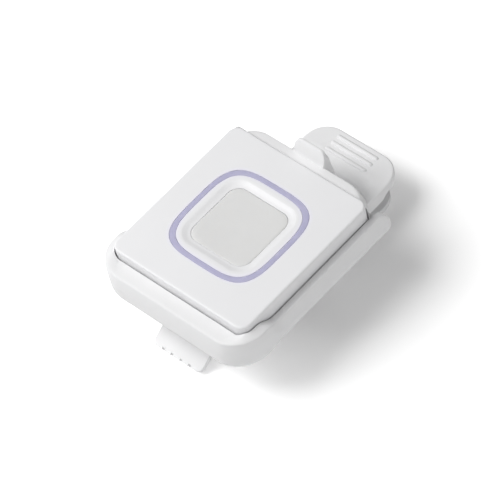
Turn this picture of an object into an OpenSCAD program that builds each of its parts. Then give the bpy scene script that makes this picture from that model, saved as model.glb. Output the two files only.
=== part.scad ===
// A square pendant with a recessed button and a light ring, held in a cradle with a sprung belt clip.
// The pendant's front face is horizontal, +X is across it, and +Y runs to the latch and the thumb pads.
// Shapes are drawn about the middle of the front face, and placed() puts the origin on the floor
// under the middle of the whole object.

/* [Pendant] */
// Width of the pendant
pendant_w = 39.1; // [38:0.1:44]
// Length of the pendant
pendant_l = 40.9; // [40:0.1:46]
// Thickness of the pendant
pendant_h = 9.4; // [9.2:0.1:11]
// Corner radius of the pendant in plan
pendant_corner_r = 2.4; // [2.2:0.1:3.8]
// Rounding of the pendant's front and back edges
pendant_edge_r = 0.45; // [0.3:0.05:0.9]
// Wall thickness of both covers
cover_wall = 1.3; // [1.2:0.05:1.6]
// Height of the front cover, from the face to the parting line
front_h = 5.2; // [4.9:0.1:6]
// Thickness of the front face
face_t = 1.4; // [1.3:0.05:1.6]
// Thickness of the rear cover's floor
rear_floor_t = 1; // [0.9:0.05:1.2]
// Radius of the screw posts in both covers
post_r = 1.9; // [1.7:0.05:2.1]
// How far the posts run into the walls beside them
post_lap = 0.15; // [0.1:0.05:0.3]
// Width of the seal between the covers
seal_w = 0.6; // [0.4:0.05:0.7]
// Height of the seal between the covers
seal_h = 0.8; // [0.5:0.05:1.2]

/* [Light ring] */
// Half width of the ring along its centre line
ring_half = 12.315; // [12:0.005:12.8]
// Width of the ring's line
ring_w = 1.2; // [1:0.05:1.7]
// Power of the ring's rounded-square outline, where 2 is a circle
ring_power = 3.85; // [3:0.05:6]
// Thickness of the clear guide plate under the ring
guide_t = 0.6; // [0.5:0.05:0.7]
// How far the guide plate reaches past the ring on each side
guide_lap = 0.7; // [0.4:0.05:0.8]
// Length of a guide leg along the ring
guide_leg_l = 3; // [2:0.1:4]
// Thickness of a guide leg across the ring
guide_leg_t = 1.2; // [0.8:0.1:1.4]
// Length and width of a light source
led_l = 1.6; // [1:0.1:2]
// Height of a light source
led_h = 0.5; // [0.4:0.05:0.6]
// Space between a light source and the guide leg above it
led_gap = 0.2; // [0.1:0.05:0.4]

/* [Button] */
// Width of the flat land between the ring and the recess
frame_land = 1.665; // [1.3:0.005:1.9]
// Width of the recess's slope in plan
recess_slope_w = 1.6; // [1.2:0.05:2.2]
// Corner radius of the recess at the face
recess_top_r = 4.3; // [3.5:0.1:5]
// Corner radius of the recess at its foot
recess_low_r = 3; // [2.4:0.1:3.6]
// Depth of the sloped part of the recess
recess_depth = 0.5; // [0.4:0.05:0.8]
// Clearance round the button cap
cap_gap = 0.15; // [0.1:0.01:0.25]
// How far the cap's flange reaches under the button frame
cap_flange_lap = 1; // [0.6:0.05:1.2]
// Thickness of the cap's flange
cap_flange_t = 0.6; // [0.4:0.05:0.6]
// Depth of the dish in the cap's top
cap_dish = 0.25; // [0.1:0.01:0.35]
// Travel of the button
button_travel = 0.4; // [0.2:0.05:0.45]
// Radius of the cap's middle post
cap_post_r = 1.6; // [1.2:0.05:2]

/* [Electronics] */
// Thickness of the circuit board
board_t = 0.8; // [0.6:0.05:1]
// Gap between the circuit board and the walls
board_gap = 0.5; // [0.3:0.05:0.8]
// Diameter of the coin cell
cell_d = 20; // [18:0.1:20.2]
// Thickness of the coin cell
cell_h = 3.2; // [2.8:0.05:3.3]
// Width of the coin cell's rim
cell_rim_w = 1; // [0.6:0.1:1.4]
// Height of the coin cell's rim
cell_rim_h = 0.8; // [0.5:0.05:1.2]
// Height of the spring contact between the cell and the board
contact_h = 0.4; // [0.35:0.05:0.5]
// Thickness of the contact strips
contact_t = 0.15; // [0.1:0.01:0.16]
// Width of the contact strips
contact_w = 4; // [3:0.1:5]
// Width of the tactile switch
switch_w = 5.2; // [4.5:0.1:6]
// Height of the tactile switch
switch_h = 1; // [0.8:0.05:1.05]
// Radius of the switch plunger
plunger_r = 0.9; // [0.7:0.05:1.1]
// Radial clearance of the switch plunger
plunger_gap = 0.06; // [0.04:0.01:0.08]
// Space left over between the cap's post and the switch at full travel
switch_spare = 0.1; // [0.08:0.01:0.15]
// Width of the controller chip
chip_w = 5; // [4:0.1:6]
// Height of the controller chip
chip_h = 0.8; // [0.6:0.05:0.9]
// Width of the radio module
radio_w = 5.6; // [4.5:0.1:6]
// Length of the radio module
radio_l = 8; // [7:0.1:9]
// Height of the radio module
radio_h = 1.2; // [1:0.05:1.3]
// Length of the ceramic antenna
antenna_l = 7; // [5:0.1:9]
// Width of the ceramic antenna
antenna_w = 2; // [1.5:0.1:2.2]
// Height of the ceramic antenna
antenna_h = 0.8; // [0.6:0.05:0.9]
// Radius of the pillars that carry the board
pillar_r = 0.9; // [0.7:0.05:1.1]
// Distance of the pillars from the middle across the board
pillar_x = 14.6; // [14.2:0.1:15]
// Distance of the pillars from the middle along the board
pillar_y = 9; // [7:0.1:11]

/* [Cradle] */
// Clearance between the pendant's sides and the cradle
seat_gap = 0.3; // [0.25:0.01:0.4]
// Clearance under the pendant
seat_floor_gap = 0.05; // [0.02:0.01:0.1]
// Thickness of the cradle's floor under the middle of the pendant
tray_floor_t = 2.05; // [1.95:0.05:2.6]
// Greatest thickness of a side rail
rail_t = 2.45; // [2.2:0.05:2.9]
// Width of a rail's top
rail_top_w = 1.65; // [1.2:0.05:1.9]
// Depth of a rail's top below the face
rail_depth = 3.7; // [3.4:0.1:4.6]
// Depth at which a rail is widest
rail_bulge_depth = 7.2; // [6.4:0.1:7.6]
// Rounding between a rail and the underside
rail_belly_r = 4.1; // [3:0.1:4.2]
// Reach of the rails past the pendant's far edge
rail_past = 3; // [2.8:0.1:3.6]
// Rounding of the rails' free ends at the top
rail_nose_r = 3.2; // [2:0.1:3.6]
// Rounding of the rails' free ends at the underside
rail_heel_r = 1.5; // [1:0.1:2]
// Thickness of the near wall
near_wall_t = 4.25; // [3.6:0.05:4.8]
// Depth of the near wall's inner lip below the face
near_lip_depth = 2.5; // [2:0.1:2.6]
// Depth of the near wall's outer rim below the face
near_rim_depth = 2.7; // [2.7:0.1:4.2]
// How far the rim stands back from the widest place of the near wall
near_rim_w = 0.5; // [0.4:0.1:1.4]
// Depth at which the near wall is thickest
near_bulge_depth = 7; // [6:0.1:8]
// Rounding between the near face and the underside
near_belly_r = 2.2; // [1.6:0.1:2.8]
// Corner radius of the cradle's near corners in plan
cradle_corner_r = 8; // [6:0.1:9]
// Distance from the middle to where a rail reaches its low height
rail_low_y = 13; // [11:0.1:14]
// Distance from the middle to where the rim starts to fall towards the rail
rail_high_y = 18; // [16.5:0.1:19]

/* [Latch] */
// Gap between the latch wall and the pendant
latch_gap = 0.15; // [0.1:0.01:0.3]
// Width of the latch wall
latch_w = 38.4; // [34:0.1:38.6]
// Thickness of the latch wall
latch_t = 2.25; // [2:0.05:2.5]
// Depth of the latch wall's top below the face
latch_top_depth = 0.85; // [0.5:0.05:1.4]
// Radius of the latch wall's ends in plan
latch_end_r = 5; // [3:0.1:6]
// Radius of the latch wall's top corners
latch_top_r = 3; // [2:0.1:5]
// Radius of the bead that the latch wall bends on
latch_bead_r = 0.5; // [0.4:0.02:0.55]
// Clearance round the bead
latch_bead_gap = 0.06; // [0.04:0.01:0.08]
// Gap under the latch wall
latch_foot_gap = 0.3; // [0.25:0.01:0.4]
// Width of the thumb tab
tab_w = 8.6; // [7:0.1:11]
// Height of the thumb tab above the face
tab_rise = 2.7; // [2:0.1:3.6]
// Thickness of the thumb tab at its top
tab_top_t = 0.7; // [0.5:0.05:1.2]
// How far the thumb tab's top leans out past the latch wall
tab_lean = 1.5; // [1:0.1:2]
// How far the gusset reaches out past the latch wall
gusset_reach = 3; // [2.6:0.1:3.4]
// Depth of the gusset's outermost edge below the face
gusset_depth = 7.3; // [6.4:0.1:7.6]
// Depth at which the gusset meets the latch wall
gusset_foot_depth = 8.8; // [8.2:0.1:8.9]
// Corner radius of the thumb tab
tab_corner_r = 1.8; // [1:0.1:2.4]

/* [Clip arm] */
// Thickness of the arm's plate
arm_t = 2.2; // [2:0.05:2.4]
// Width of the arm's thumb pad
arm_w = 24.5; // [23.6:0.1:25.4]
// Width of the arm's neck under the cradle
arm_neck_w = 16; // [14:0.1:18]
// Reach of the arm past the pendant's far edge
arm_past = 18.2; // [17.4:0.1:19]
// Reach of the arm's neck towards the near wall
arm_near = 16.5; // [15:0.1:18]
// Distance from the middle to where the arm widens
arm_wide_y = 7.6; // [7.2:0.1:8.4]
// Corner radius of the thumb pads
thumb_corner_r = 5.8; // [4:0.1:6.5]
// Corner radius of the arm's neck
arm_neck_r = 1.5; // [1:0.1:2]
// Thickness of the arm's side flanges
flange_t = 1.65; // [1.4:0.05:1.8]
// Depth of the flanges below the plate at the thumb pad
flange_h = 1.4; // [1:0.1:1.8]
// Radius of the ears round the pin
ear_r = 2.5; // [2.2:0.05:2.6]
// How far an ear spreads on each side where it meets the plate
ear_spread = 2; // [1:0.1:2.6]
// Radius of the thumb hollow in the arm
hollow_r = 12; // [10:0.1:14]
// Depth of the thumb hollow in the arm
hollow_depth = 1.2; // [0.8:0.05:1.3]
// Distance from the pendant's far edge to the middle of the thumb hollow
hollow_past = 6.2; // [5.4:0.1:6.6]
// Length of a grip rib
rib_l = 12; // [9:0.1:14]
// Radius of a grip rib
rib_r = 0.6; // [0.4:0.05:0.7]
// Height of a grip rib above the pad
rib_rise = 0.4; // [0.3:0.05:0.5]
// Distance between grip ribs
rib_pitch = 2; // [1.8:0.05:2.2]
// Number of grip ribs
rib_count = 3; // [2:1:3]
// Distance from the arm's far end to the first rib
rib_inset = 1.9; // [1.7:0.1:2.6]

/* [Clip lever] */
// Thickness of the lever
lever_t = 1.5; // [1.3:0.05:1.6]
// Width of the lever's thumb end
lever_w = 21.4; // [20.6:0.1:23]
// Width of the lever's jaw and lip
jaw_w = 14.3; // [12:0.1:15]
// Reach of the lever past the pendant's far edge
lever_past = 16.9; // [16.8:0.1:18]
// Distance from the middle to the lip's front edge
lip_y = 25.6; // [25.2:0.1:26.4]
// Distance from the middle to the jaw's crest
jaw_y = 12.8; // [12:0.1:14]
// Gap between the closed jaw and the arm
jaw_gap = 0.3; // [0.25:0.01:0.4]
// Distance from the middle to where the lever leaves the floor
lever_flat_y = 6; // [5:0.1:6.5]
// Distance over which the lever widens
lever_taper_l = 4; // [3:0.1:4.5]
// Power of the lip's outward curve
lip_power = 1.35; // [1.2:0.05:1.6]
// Corner radius of the lip
lip_corner_r = 1.4; // [0.8:0.1:2]
// Width of a notch in the lip
notch_w = 0.8; // [0.6:0.05:1.2]
// Depth of a notch in the lip
notch_d = 0.5; // [0.3:0.05:0.8]
// Distance between notches
notch_pitch = 2.6; // [2.4:0.05:3.2]
// Number of notches
notch_count = 4; // [3:1:4]
// Thickness of the lever's ears
lever_ear_t = 1.6; // [1.3:0.05:1.8]
// Gap between the ears of the lever and the arm's flanges
ear_gap = 0.35; // [0.3:0.01:0.4]
// Radius of the lever's ears round the pin
lever_ear_r = 2.2; // [2:0.05:2.4]
// How far a lever ear spreads on each side at the lever
lever_ear_spread = 1.2; // [0.6:0.1:1.6]

/* [Pin and spring] */
// Distance from the middle to the clip's pin
pivot_y = 12; // [11.8:0.1:12.6]
// Radius of the clip's pin
pin_r = 1; // [0.9:0.02:1.2]
// Radial clearance of the pin in the arm
pin_seat_gap = 0.02; // [0.01:0.01:0.03]
// Radial clearance of the pin in the lever
pin_run_gap = 0.06; // [0.04:0.01:0.08]
// Diameter of the spring's wire
wire_d = 0.8; // [0.7:0.02:0.84]
// Radius of the spring along the wire's middle
coil_r = 2.1; // [1.9:0.02:2.15]
// Space between the spring's coil and the arm above it
coil_arm_gap = 0.7; // [0.6:0.05:1.2]
// Space between the spring's coil and the lever below it
coil_lever_gap = 0.5; // [0.4:0.05:0.8]
// Distance between the spring's turns
coil_pitch = 1.25; // [1.25:0.01:1.3]
// Number of whole turns, before the last half turn
coil_turns = 5; // [4:1:6]
// Length of the spring's legs
leg_l = 10; // [8:0.1:11]
// Gap between a leg and what it pushes on
leg_gap = 0.05; // [0.03:0.01:0.1]

/* [Screws] */
// Radius of a case screw's shank
case_screw_r = 0.6; // [0.5:0.02:0.7]
// Radius of a case screw's head
case_head_r = 1.3; // [1.1:0.05:1.4]
// Height of a case screw's head
case_head_h = 0.7; // [0.5:0.05:0.8]
// Length of a case screw below its head
case_screw_l = 6; // [5:0.1:6.4]
// Radius of a clip screw's shank
clip_screw_r = 0.8; // [0.7:0.02:0.9]
// Radius of a clip screw's head
clip_head_r = 1.6; // [1.4:0.05:1.8]
// Height of a clip screw's head
clip_head_h = 0.7; // [0.5:0.05:0.75]
// Distance of the clip screws from the middle across the cradle
clip_screw_x = 5; // [4.5:0.1:5.4]
// Distance of the near clip screws from the middle
clip_screw_near_y = 13; // [11:0.1:14]
// Distance of the far clip screws from the middle
clip_screw_far_y = 4; // [3:0.1:5]
// Radial clearance of all screws
screw_gap = 0.03; // [0.02:0.01:0.05]
// Width of the slots in the screw heads
slot_w = 0.4; // [0.3:0.02:0.5]
// Depth of the slots in the screw heads
slot_d = 0.35; // [0.2:0.02:0.4]

/* [Hidden] */

// How far a cut runs past the surface that it opens
over = 0.5;
// Thickness of the sheets that a sloped cut is stretched between
sheet_t = 0.01;
// Clearance between pieces that are pressed or welded together
fit_gap = 0.03;
// Segments of a quarter round in an outline
arc_steps = 7;
// Segments of a full round-cornered outline's power curve
oval_steps = 72;
// Facets of the round corners of soft boxes
corner_facets = 32;
// Facets of bores, pins and screws
round_facets = 48;
// Steps of a turn of the spring
turn_steps = 8;
// Facets round the spring's wire
wire_facets = 6;

half_w = pendant_w / 2;
half_l = pendant_l / 2;
inner_half_w = half_w - cover_wall;
inner_half_l = half_l - cover_wall;
post_x = inner_half_w + post_lap - post_r;
post_y = inner_half_l + post_lap - post_r;

ring_outer_half = ring_half + ring_w / 2;
ring_inner_half = ring_half - ring_w / 2;
recess_top_half = ring_inner_half - frame_land;
recess_low_half = recess_top_half - recess_slope_w;

// Heights in the pendant, where the face is at zero
cell_top_z = -pendant_h + rear_floor_t + cell_h;
board_low_z = cell_top_z + contact_h;
board_top_z = board_low_z + board_t;
flange_top_z = -face_t - cap_gap;
flange_low_z = flange_top_z - cap_flange_t;
switch_top_z = board_top_z + switch_h;
plunger_top_z = switch_top_z + button_travel + switch_spare;
cap_top_z = -recess_depth;
cap_half = recess_low_half - cap_gap;
cap_corner_r = recess_low_r - cap_gap;

// Plan of the cradle
rail_inner = half_w + seat_gap;
cradle_half_w = rail_inner + rail_t;
near_reach = half_l + seat_gap + near_wall_t;
rail_reach = half_l + rail_past;
tray_top_z = -pendant_h - seat_floor_gap;
tray_depth = pendant_h + seat_floor_gap + tray_floor_t;
arm_depth = tray_depth + arm_t;
arm_reach = half_l + arm_past;
lever_reach = half_l + lever_past;
latch_in_y = half_l + latch_gap;
latch_out_y = latch_in_y + latch_t;
latch_mid_y = latch_in_y + latch_t / 2;

coil_outer_r = coil_r + wire_d / 2;
pivot_depth = arm_depth + coil_arm_gap + coil_outer_r;
lever_depth = pivot_depth + coil_outer_r + coil_lever_gap + lever_t;
lever_top_z = lever_t - lever_depth;
jaw_top_z = -arm_depth - jaw_gap;
lip_top_z = lever_top_z;
pivot = [pivot_y, -pivot_depth];
flange_inner_x = arm_w / 2 - flange_t;
lever_ear_x = flange_inner_x - ear_gap - lever_ear_t / 2;
// The lever is at least as wide as its ears stand apart
lever_full_w = max(lever_w, 2 * lever_ear_x + lever_ear_t);
centre_y = (max(arm_reach, lever_reach) - lip_y) / 2;

// Points along a circle's arc, from one angle to another
function arc(c, r, from, to) =
    [for (i = [0:arc_steps]) let (a = from + (to - from) * i / arc_steps) c + r * [cos(a), sin(a)]];

// Outline of a rectangle with round corners about the origin
function round_rect(w, l, r) = concat(
    arc([w / 2 - r, l / 2 - r], r, 0, 90), arc([r - w / 2, l / 2 - r], r, 90, 180),
    arc([r - w / 2, r - l / 2], r, 180, 270), arc([w / 2 - r, r - l / 2], r, 270, 360));

// Outline of a rounded square whose sides bow slightly, as a power curve
function power_square(half) =
    [for (i = [0:oval_steps - 1]) let (a = 360 * i / oval_steps)
        half * [sign(cos(a)) * pow(abs(cos(a)), 2 / ring_power),
                sign(sin(a)) * pow(abs(sin(a)), 2 / ring_power)]];

// A value that runs smoothly from one to another as share goes from 0 to 1
function ease(from, to, share) = from + (to - from) * (1 - cos(180 * share)) / 2;

// Puts the drawing frame's origin on the floor, under the middle of the object
module placed() {
    translate([0, -centre_y, lever_depth]) children();
}

// Extrudes an outline drawn in Y and Z along X, centred
module along_x(w) {
    rotate([90, 0, 90]) linear_extrude(w, center = true) children();
}

// Extrudes an outline drawn in X and Z along Y, centred
module along_y(l) {
    rotate([90, 0, 0]) linear_extrude(l, center = true) children();
}

// A round rod along X, centred
module rod_x(r, w) {
    rotate([0, 90, 0]) cylinder(h = w, r = r, center = true, $fn = round_facets);
}

// One corner of a soft box, with its foot at zero
module soft_corner(h, r, low_r, high_r) {
    rotate_extrude($fn = corner_facets)
        polygon(concat([[0, 0]], arc([r - low_r, low_r], low_r, -90, 0),
            arc([r - high_r, h - high_r], high_r, 0, 90), [[0, h]]));
}

// A box with round corners in plan and rounded edges below and above
module soft_box(w, l, h, r, low_r, high_r) {
    hull()
        for (x = [-1, 1], y = [-1, 1])
            translate([x * (w / 2 - r), y * (l / 2 - r), 0]) soft_corner(h, r, low_r, high_r);
}

module at_posts() {
    for (x = [-1, 1], y = [-1, 1]) translate([x * post_x, y * post_y, 0]) children();
}

module at_clip_screws() {
    for (x = [-1, 1], y = [-clip_screw_near_y, clip_screw_far_y])
        translate([x * clip_screw_x, y, 0]) children();
}

module at_ring_sides() {
    for (turn = [0:3]) rotate(90 * turn) translate([ring_half, 0, 0]) children();
}

// A screw with a crossed head at the origin, its shank running up
module screw(shank_r, shank_l, head_r, head_h) {
    difference() {
        union() {
            cylinder(h = head_h, r = head_r, $fn = round_facets);
            cylinder(h = head_h + shank_l, r = shank_r, $fn = round_facets);
        }
        for (turn = [0, 90]) rotate(turn)
            translate([0, 0, slot_d / 2 - over / 2])
                cube([2 * head_r - slot_w * 2, slot_w, slot_d + over], center = true);
    }
}

module front_cover() {
    color("whitesmoke") difference() {
        union() {
            difference() {
                translate([0, 0, -front_h])
                    soft_box(pendant_w, pendant_l, front_h, pendant_corner_r, sheet_t, pendant_edge_r);
                translate([0, 0, -front_h - over])
                    linear_extrude(front_h - face_t + over)
                        polygon(round_rect(2 * inner_half_w, 2 * inner_half_l,
                            pendant_corner_r - cover_wall));
            }
            at_posts() translate([0, 0, -front_h])
                cylinder(h = front_h - face_t + sheet_t, r = post_r, $fn = round_facets);
        }
        translate([0, 0, -face_t - over])
            linear_extrude(face_t + 2 * over) polygon(power_square(ring_outer_half + fit_gap));
        at_posts() translate([0, 0, -front_h - over])
            cylinder(h = front_h - face_t + over - sheet_t, r = case_screw_r + screw_gap,
                $fn = round_facets);
    }
}

module rear_cover() {
    wall_h = pendant_h - front_h;
    seal_mid_w = pendant_w - cover_wall;
    seal_mid_l = pendant_l - cover_wall;
    color("whitesmoke") difference() {
        union() {
            difference() {
                translate([0, 0, -pendant_h])
                    soft_box(pendant_w, pendant_l, wall_h, pendant_corner_r, pendant_edge_r, sheet_t);
                translate([0, 0, rear_floor_t - pendant_h])
                    linear_extrude(wall_h)
                        polygon(round_rect(2 * inner_half_w, 2 * inner_half_l,
                            pendant_corner_r - cover_wall));
            }
            at_posts() translate([0, 0, -pendant_h + rear_floor_t / 2])
                cylinder(h = wall_h - rear_floor_t / 2, r = post_r, $fn = round_facets);
            for (x = [-1, 1], y = [-1, 1])
                translate([x * pillar_x, y * pillar_y, -pendant_h + rear_floor_t / 2])
                    cylinder(h = board_low_z + pendant_h - rear_floor_t / 2, r = pillar_r,
                        $fn = round_facets);
        }
        translate([0, 0, -front_h - seal_h]) linear_extrude(seal_h + over) difference() {
            polygon(round_rect(seal_mid_w + seal_w + fit_gap, seal_mid_l + seal_w + fit_gap,
                pendant_corner_r - (cover_wall - seal_w) / 2));
            polygon(round_rect(seal_mid_w - seal_w - fit_gap, seal_mid_l - seal_w - fit_gap,
                pendant_corner_r - (cover_wall + seal_w) / 2));
        }
        at_posts() translate([0, 0, -pendant_h - over]) {
            cylinder(h = pendant_h, r = case_screw_r + screw_gap, $fn = round_facets);
            cylinder(h = case_head_h + slot_d + over, r = case_head_r + screw_gap, $fn = round_facets);
        }
    }
}

module case_seal() {
    seal_mid_w = pendant_w - cover_wall;
    seal_mid_l = pendant_l - cover_wall;
    color("dimgray") translate([0, 0, -front_h - seal_h]) linear_extrude(seal_h) difference() {
        polygon(round_rect(seal_mid_w + seal_w, seal_mid_l + seal_w,
            pendant_corner_r - (cover_wall - seal_w) / 2));
        polygon(round_rect(seal_mid_w - seal_w, seal_mid_l - seal_w,
            pendant_corner_r - (cover_wall + seal_w) / 2));
    }
}

module case_screws() {
    shank_l = min(case_screw_l, pendant_h - face_t - slot_d - case_head_h - over);
    color("silver") at_posts() translate([0, 0, slot_d - pendant_h])
        screw(case_screw_r, shank_l, case_head_r, case_head_h);
}

module light_ring() {
    color("mediumpurple") translate([0, 0, -face_t]) linear_extrude(face_t) difference() {
        polygon(power_square(ring_outer_half));
        polygon(power_square(ring_inner_half));
    }
}

module light_guide() {
    leg_low_z = board_top_z + led_h + led_gap;
    color("lavender") {
        translate([0, 0, -face_t - guide_t]) linear_extrude(guide_t) difference() {
            polygon(power_square(ring_outer_half + guide_lap));
            polygon(power_square(ring_inner_half - guide_lap));
        }
        at_ring_sides() translate([-guide_leg_t / 2, -guide_leg_l / 2, leg_low_z])
            cube([guide_leg_t, guide_leg_l, -face_t - guide_t / 2 - leg_low_z]);
    }
}

module leds() {
    color("gold") at_ring_sides() translate([-led_l / 2, -led_l / 2, board_top_z])
        cube([led_l, led_l, led_h]);
}

module button_frame() {
    color("whitesmoke") translate([0, 0, -face_t]) difference() {
        linear_extrude(face_t) polygon(power_square(ring_inner_half - fit_gap));
        translate([0, 0, -over]) linear_extrude(face_t + over)
            polygon(round_rect(2 * recess_low_half, 2 * recess_low_half, recess_low_r));
        hull() {
            translate([0, 0, face_t - recess_depth]) linear_extrude(sheet_t)
                polygon(round_rect(2 * recess_low_half, 2 * recess_low_half, recess_low_r));
            translate([0, 0, face_t]) linear_extrude(sheet_t)
                polygon(round_rect(2 * recess_top_half, 2 * recess_top_half, recess_top_r));
        }
    }
}

module button_cap() {
    reach = cap_half + over;
    flange_half = recess_low_half + cap_flange_lap;
    color("gainsboro") difference() {
        union() {
            translate([0, 0, flange_top_z - sheet_t]) linear_extrude(cap_top_z - flange_top_z + sheet_t)
                polygon(round_rect(2 * cap_half, 2 * cap_half, cap_corner_r));
            translate([0, 0, flange_low_z]) linear_extrude(cap_flange_t)
                polygon(round_rect(2 * flange_half, 2 * flange_half, recess_low_r + cap_flange_lap));
            translate([0, 0, plunger_top_z])
                cylinder(h = flange_low_z - plunger_top_z + sheet_t, r = cap_post_r, $fn = round_facets);
        }
        translate([0, 0, cap_top_z]) rotate_extrude($fn = 2 * round_facets)
            polygon(concat([[0, over]], [[reach, over]],
                [for (i = [2 * arc_steps:-1:0]) let (share = i / (2 * arc_steps))
                    [reach * share, cap_dish * (share * share - 1)]]));
    }
}

module tactile_switch() {
    color("dimgray") difference() {
        translate([-switch_w / 2, -switch_w / 2, board_top_z]) cube([switch_w, switch_w, switch_h]);
        translate([0, 0, board_top_z + switch_spare])
            cylinder(h = switch_h, r = plunger_r + plunger_gap, $fn = round_facets);
    }
}

module switch_plunger() {
    low_z = board_top_z + button_travel + 2 * switch_spare;
    color("black") translate([0, 0, low_z])
        cylinder(h = plunger_top_z - low_z, r = plunger_r, $fn = round_facets);
}

module circuit_board() {
    color("seagreen") difference() {
        translate([0, 0, board_low_z]) linear_extrude(board_t)
            polygon(round_rect(2 * (inner_half_w - board_gap), 2 * (inner_half_l - board_gap), board_gap));
        at_posts() translate([0, 0, board_low_z - over])
            cylinder(h = board_t + 2 * over, r = post_r + board_gap, $fn = round_facets);
    }
}

module controller_chip() {
    color("black") translate([ring_half - chip_w / 2, chip_w, board_top_z])
        cube([chip_w, chip_w, chip_h]);
}

module radio_module() {
    color("silver") translate([-ring_half - radio_w / 2, guide_leg_l, board_top_z])
        cube([radio_w, radio_l, radio_h]);
}

module antenna() {
    color("white") translate([-antenna_l / 2, ring_outer_half + guide_lap + antenna_w / 2, board_top_z])
        cube([antenna_l, antenna_w, antenna_h]);
}

module coin_cell() {
    color("silver") {
        translate([0, 0, cell_top_z - cell_h])
            cylinder(h = cell_h - cell_rim_h, d = cell_d, $fn = 2 * round_facets);
        translate([0, 0, cell_top_z - cell_h])
            cylinder(h = cell_h, d = cell_d - 2 * cell_rim_w, $fn = 2 * round_facets);
    }
}

// A leaf folded over on itself between the board and the cell
module battery_contact_negative() {
    color("gold") along_x(contact_w)
        polygon([[-contact_w, cell_top_z], [contact_w, cell_top_z], [contact_w, board_low_z],
            [-contact_w / 2, board_low_z], [-contact_w / 2, board_low_z - contact_t],
            [contact_w - contact_t, board_low_z - contact_t],
            [contact_w - contact_t, cell_top_z + contact_t], [-contact_w, cell_top_z + contact_t]]);
}

// An angle under the board's edge whose leaf stands against the cell's side
module battery_contact_positive() {
    leaf_y = cell_d / 2 + fit_gap;
    color("gold") {
        translate([-contact_w / 2, leaf_y, cell_top_z - cell_h / 2])
            cube([contact_w, contact_t, board_low_z - cell_top_z + cell_h / 2]);
        translate([-contact_w / 2, leaf_y, board_low_z - contact_t])
            cube([contact_w, contact_w / 2, contact_t]);
    }
}

// The tray's outline seen from the side: near wall, falling rim and low rail
function tray_side() = concat(
    arc([near_belly_r - near_reach, near_belly_r - tray_depth], near_belly_r, 180, 270),
    arc([rail_reach - rail_heel_r, rail_heel_r - tray_depth], rail_heel_r, 270, 360),
    arc([rail_reach - rail_nose_r, -rail_depth - rail_nose_r], rail_nose_r, 0, 90),
    [for (i = [0:2 * arc_steps]) let (share = i / (2 * arc_steps))
        [-rail_low_y - (rail_high_y - rail_low_y) * share, ease(-rail_depth, -near_lip_depth, share)]],
    [[-half_l - seat_gap, -near_lip_depth], [near_rim_w - near_reach, -near_rim_depth],
     [-near_reach, -near_bulge_depth]]);

// Half of the tray's outline seen from the near end, right of the middle
function tray_half_front() = concat(
    arc([cradle_half_w - rail_belly_r, rail_belly_r - tray_depth], rail_belly_r, 270, 360),
    [[cradle_half_w, -rail_bulge_depth], [rail_inner + rail_top_w, -rail_depth],
     [rail_inner + rail_top_w / 2, -near_lip_depth]]);

function mirrored(points) = [for (i = [len(points) - 1:-1:0]) [-points[i][0], points[i][1]]];

module tray_body() {
    r = cradle_corner_r;
    intersection() {
        translate([0, 0, -tray_depth - over]) linear_extrude(tray_depth + 2 * over)
            polygon(concat(arc([cradle_half_w - r, r - near_reach], r, 270, 360),
                arc([cradle_half_w - over, rail_reach - over], over, 0, 90),
                arc([over - cradle_half_w, rail_reach - over], over, 90, 180),
                arc([r - cradle_half_w, r - near_reach], r, 180, 270)));
        along_x(2 * cradle_half_w + 2 * over) polygon(tray_side());
        along_y(2 * near_reach + 2 * over) polygon(concat(tray_half_front(), mirrored(tray_half_front())));
    }
}

module cradle_tray() {
    color("whitesmoke") difference() {
        tray_body();
        translate([0, 0, tray_top_z]) linear_extrude(pendant_h + over)
            polygon(round_rect(2 * rail_inner, 2 * (half_l + seat_gap), pendant_corner_r + seat_gap));
        translate([-rail_inner, 0, tray_top_z]) cube([2 * rail_inner, 2 * rail_reach, pendant_h + over]);
        translate([0, latch_mid_y, tray_top_z])
            rod_x(latch_bead_r + latch_bead_gap, latch_w + 2 * seat_gap);
        at_clip_screws() clip_screw_bore();
    }
}

// Height of the seats under the clip screws' heads
clip_head_z = tray_top_z - clip_head_h - slot_d;

module clip_screw_bore() {
    translate([0, 0, -arm_depth - over])
        cylinder(h = arm_depth, r = clip_screw_r + screw_gap, $fn = round_facets);
    translate([0, 0, clip_head_z])
        cylinder(h = -clip_head_z, r = clip_head_r + screw_gap, $fn = round_facets);
}

module clip_screws() {
    color("silver") at_clip_screws() translate([0, 0, clip_head_z + clip_head_h])
        mirror([0, 0, 1]) screw(clip_screw_r, arm_depth + clip_head_z - screw_gap, clip_head_r, clip_head_h);
}

// The latch wall with its bead, thumb tab and gusset
module latch_wall() {
    wall_low_z = tray_top_z + latch_foot_gap;
    tab_top_in_y = latch_out_y + tab_lean - tab_top_t / 2;
    color("whitesmoke") {
        intersection() {
            translate([0, latch_out_y, wall_low_z]) linear_extrude(-latch_top_depth - wall_low_z)
                polygon(latch_plan());
            translate([0, latch_mid_y, 0]) along_y(2 * latch_t)
                polygon(round_top(latch_w, -latch_top_depth, latch_top_r, wall_low_z - over));
        }
        translate([0, latch_mid_y, tray_top_z]) rod_x(latch_bead_r, latch_w - 2 * latch_end_r);
        intersection() {
            along_x(tab_w) polygon([[latch_mid_y, -gusset_foot_depth], [latch_out_y, -gusset_foot_depth],
                [latch_out_y + gusset_reach, -gusset_depth], [tab_top_in_y + tab_top_t, tab_rise],
                [tab_top_in_y, tab_rise], [latch_out_y - tab_top_t / 2, -latch_top_depth],
                [latch_mid_y, -latch_top_depth - tab_top_t]]);
            translate([0, latch_mid_y, 0]) along_y(2 * latch_out_y)
                polygon(round_top(tab_w, tab_rise, tab_corner_r, -gusset_foot_depth - over));
        }
    }
}

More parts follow.
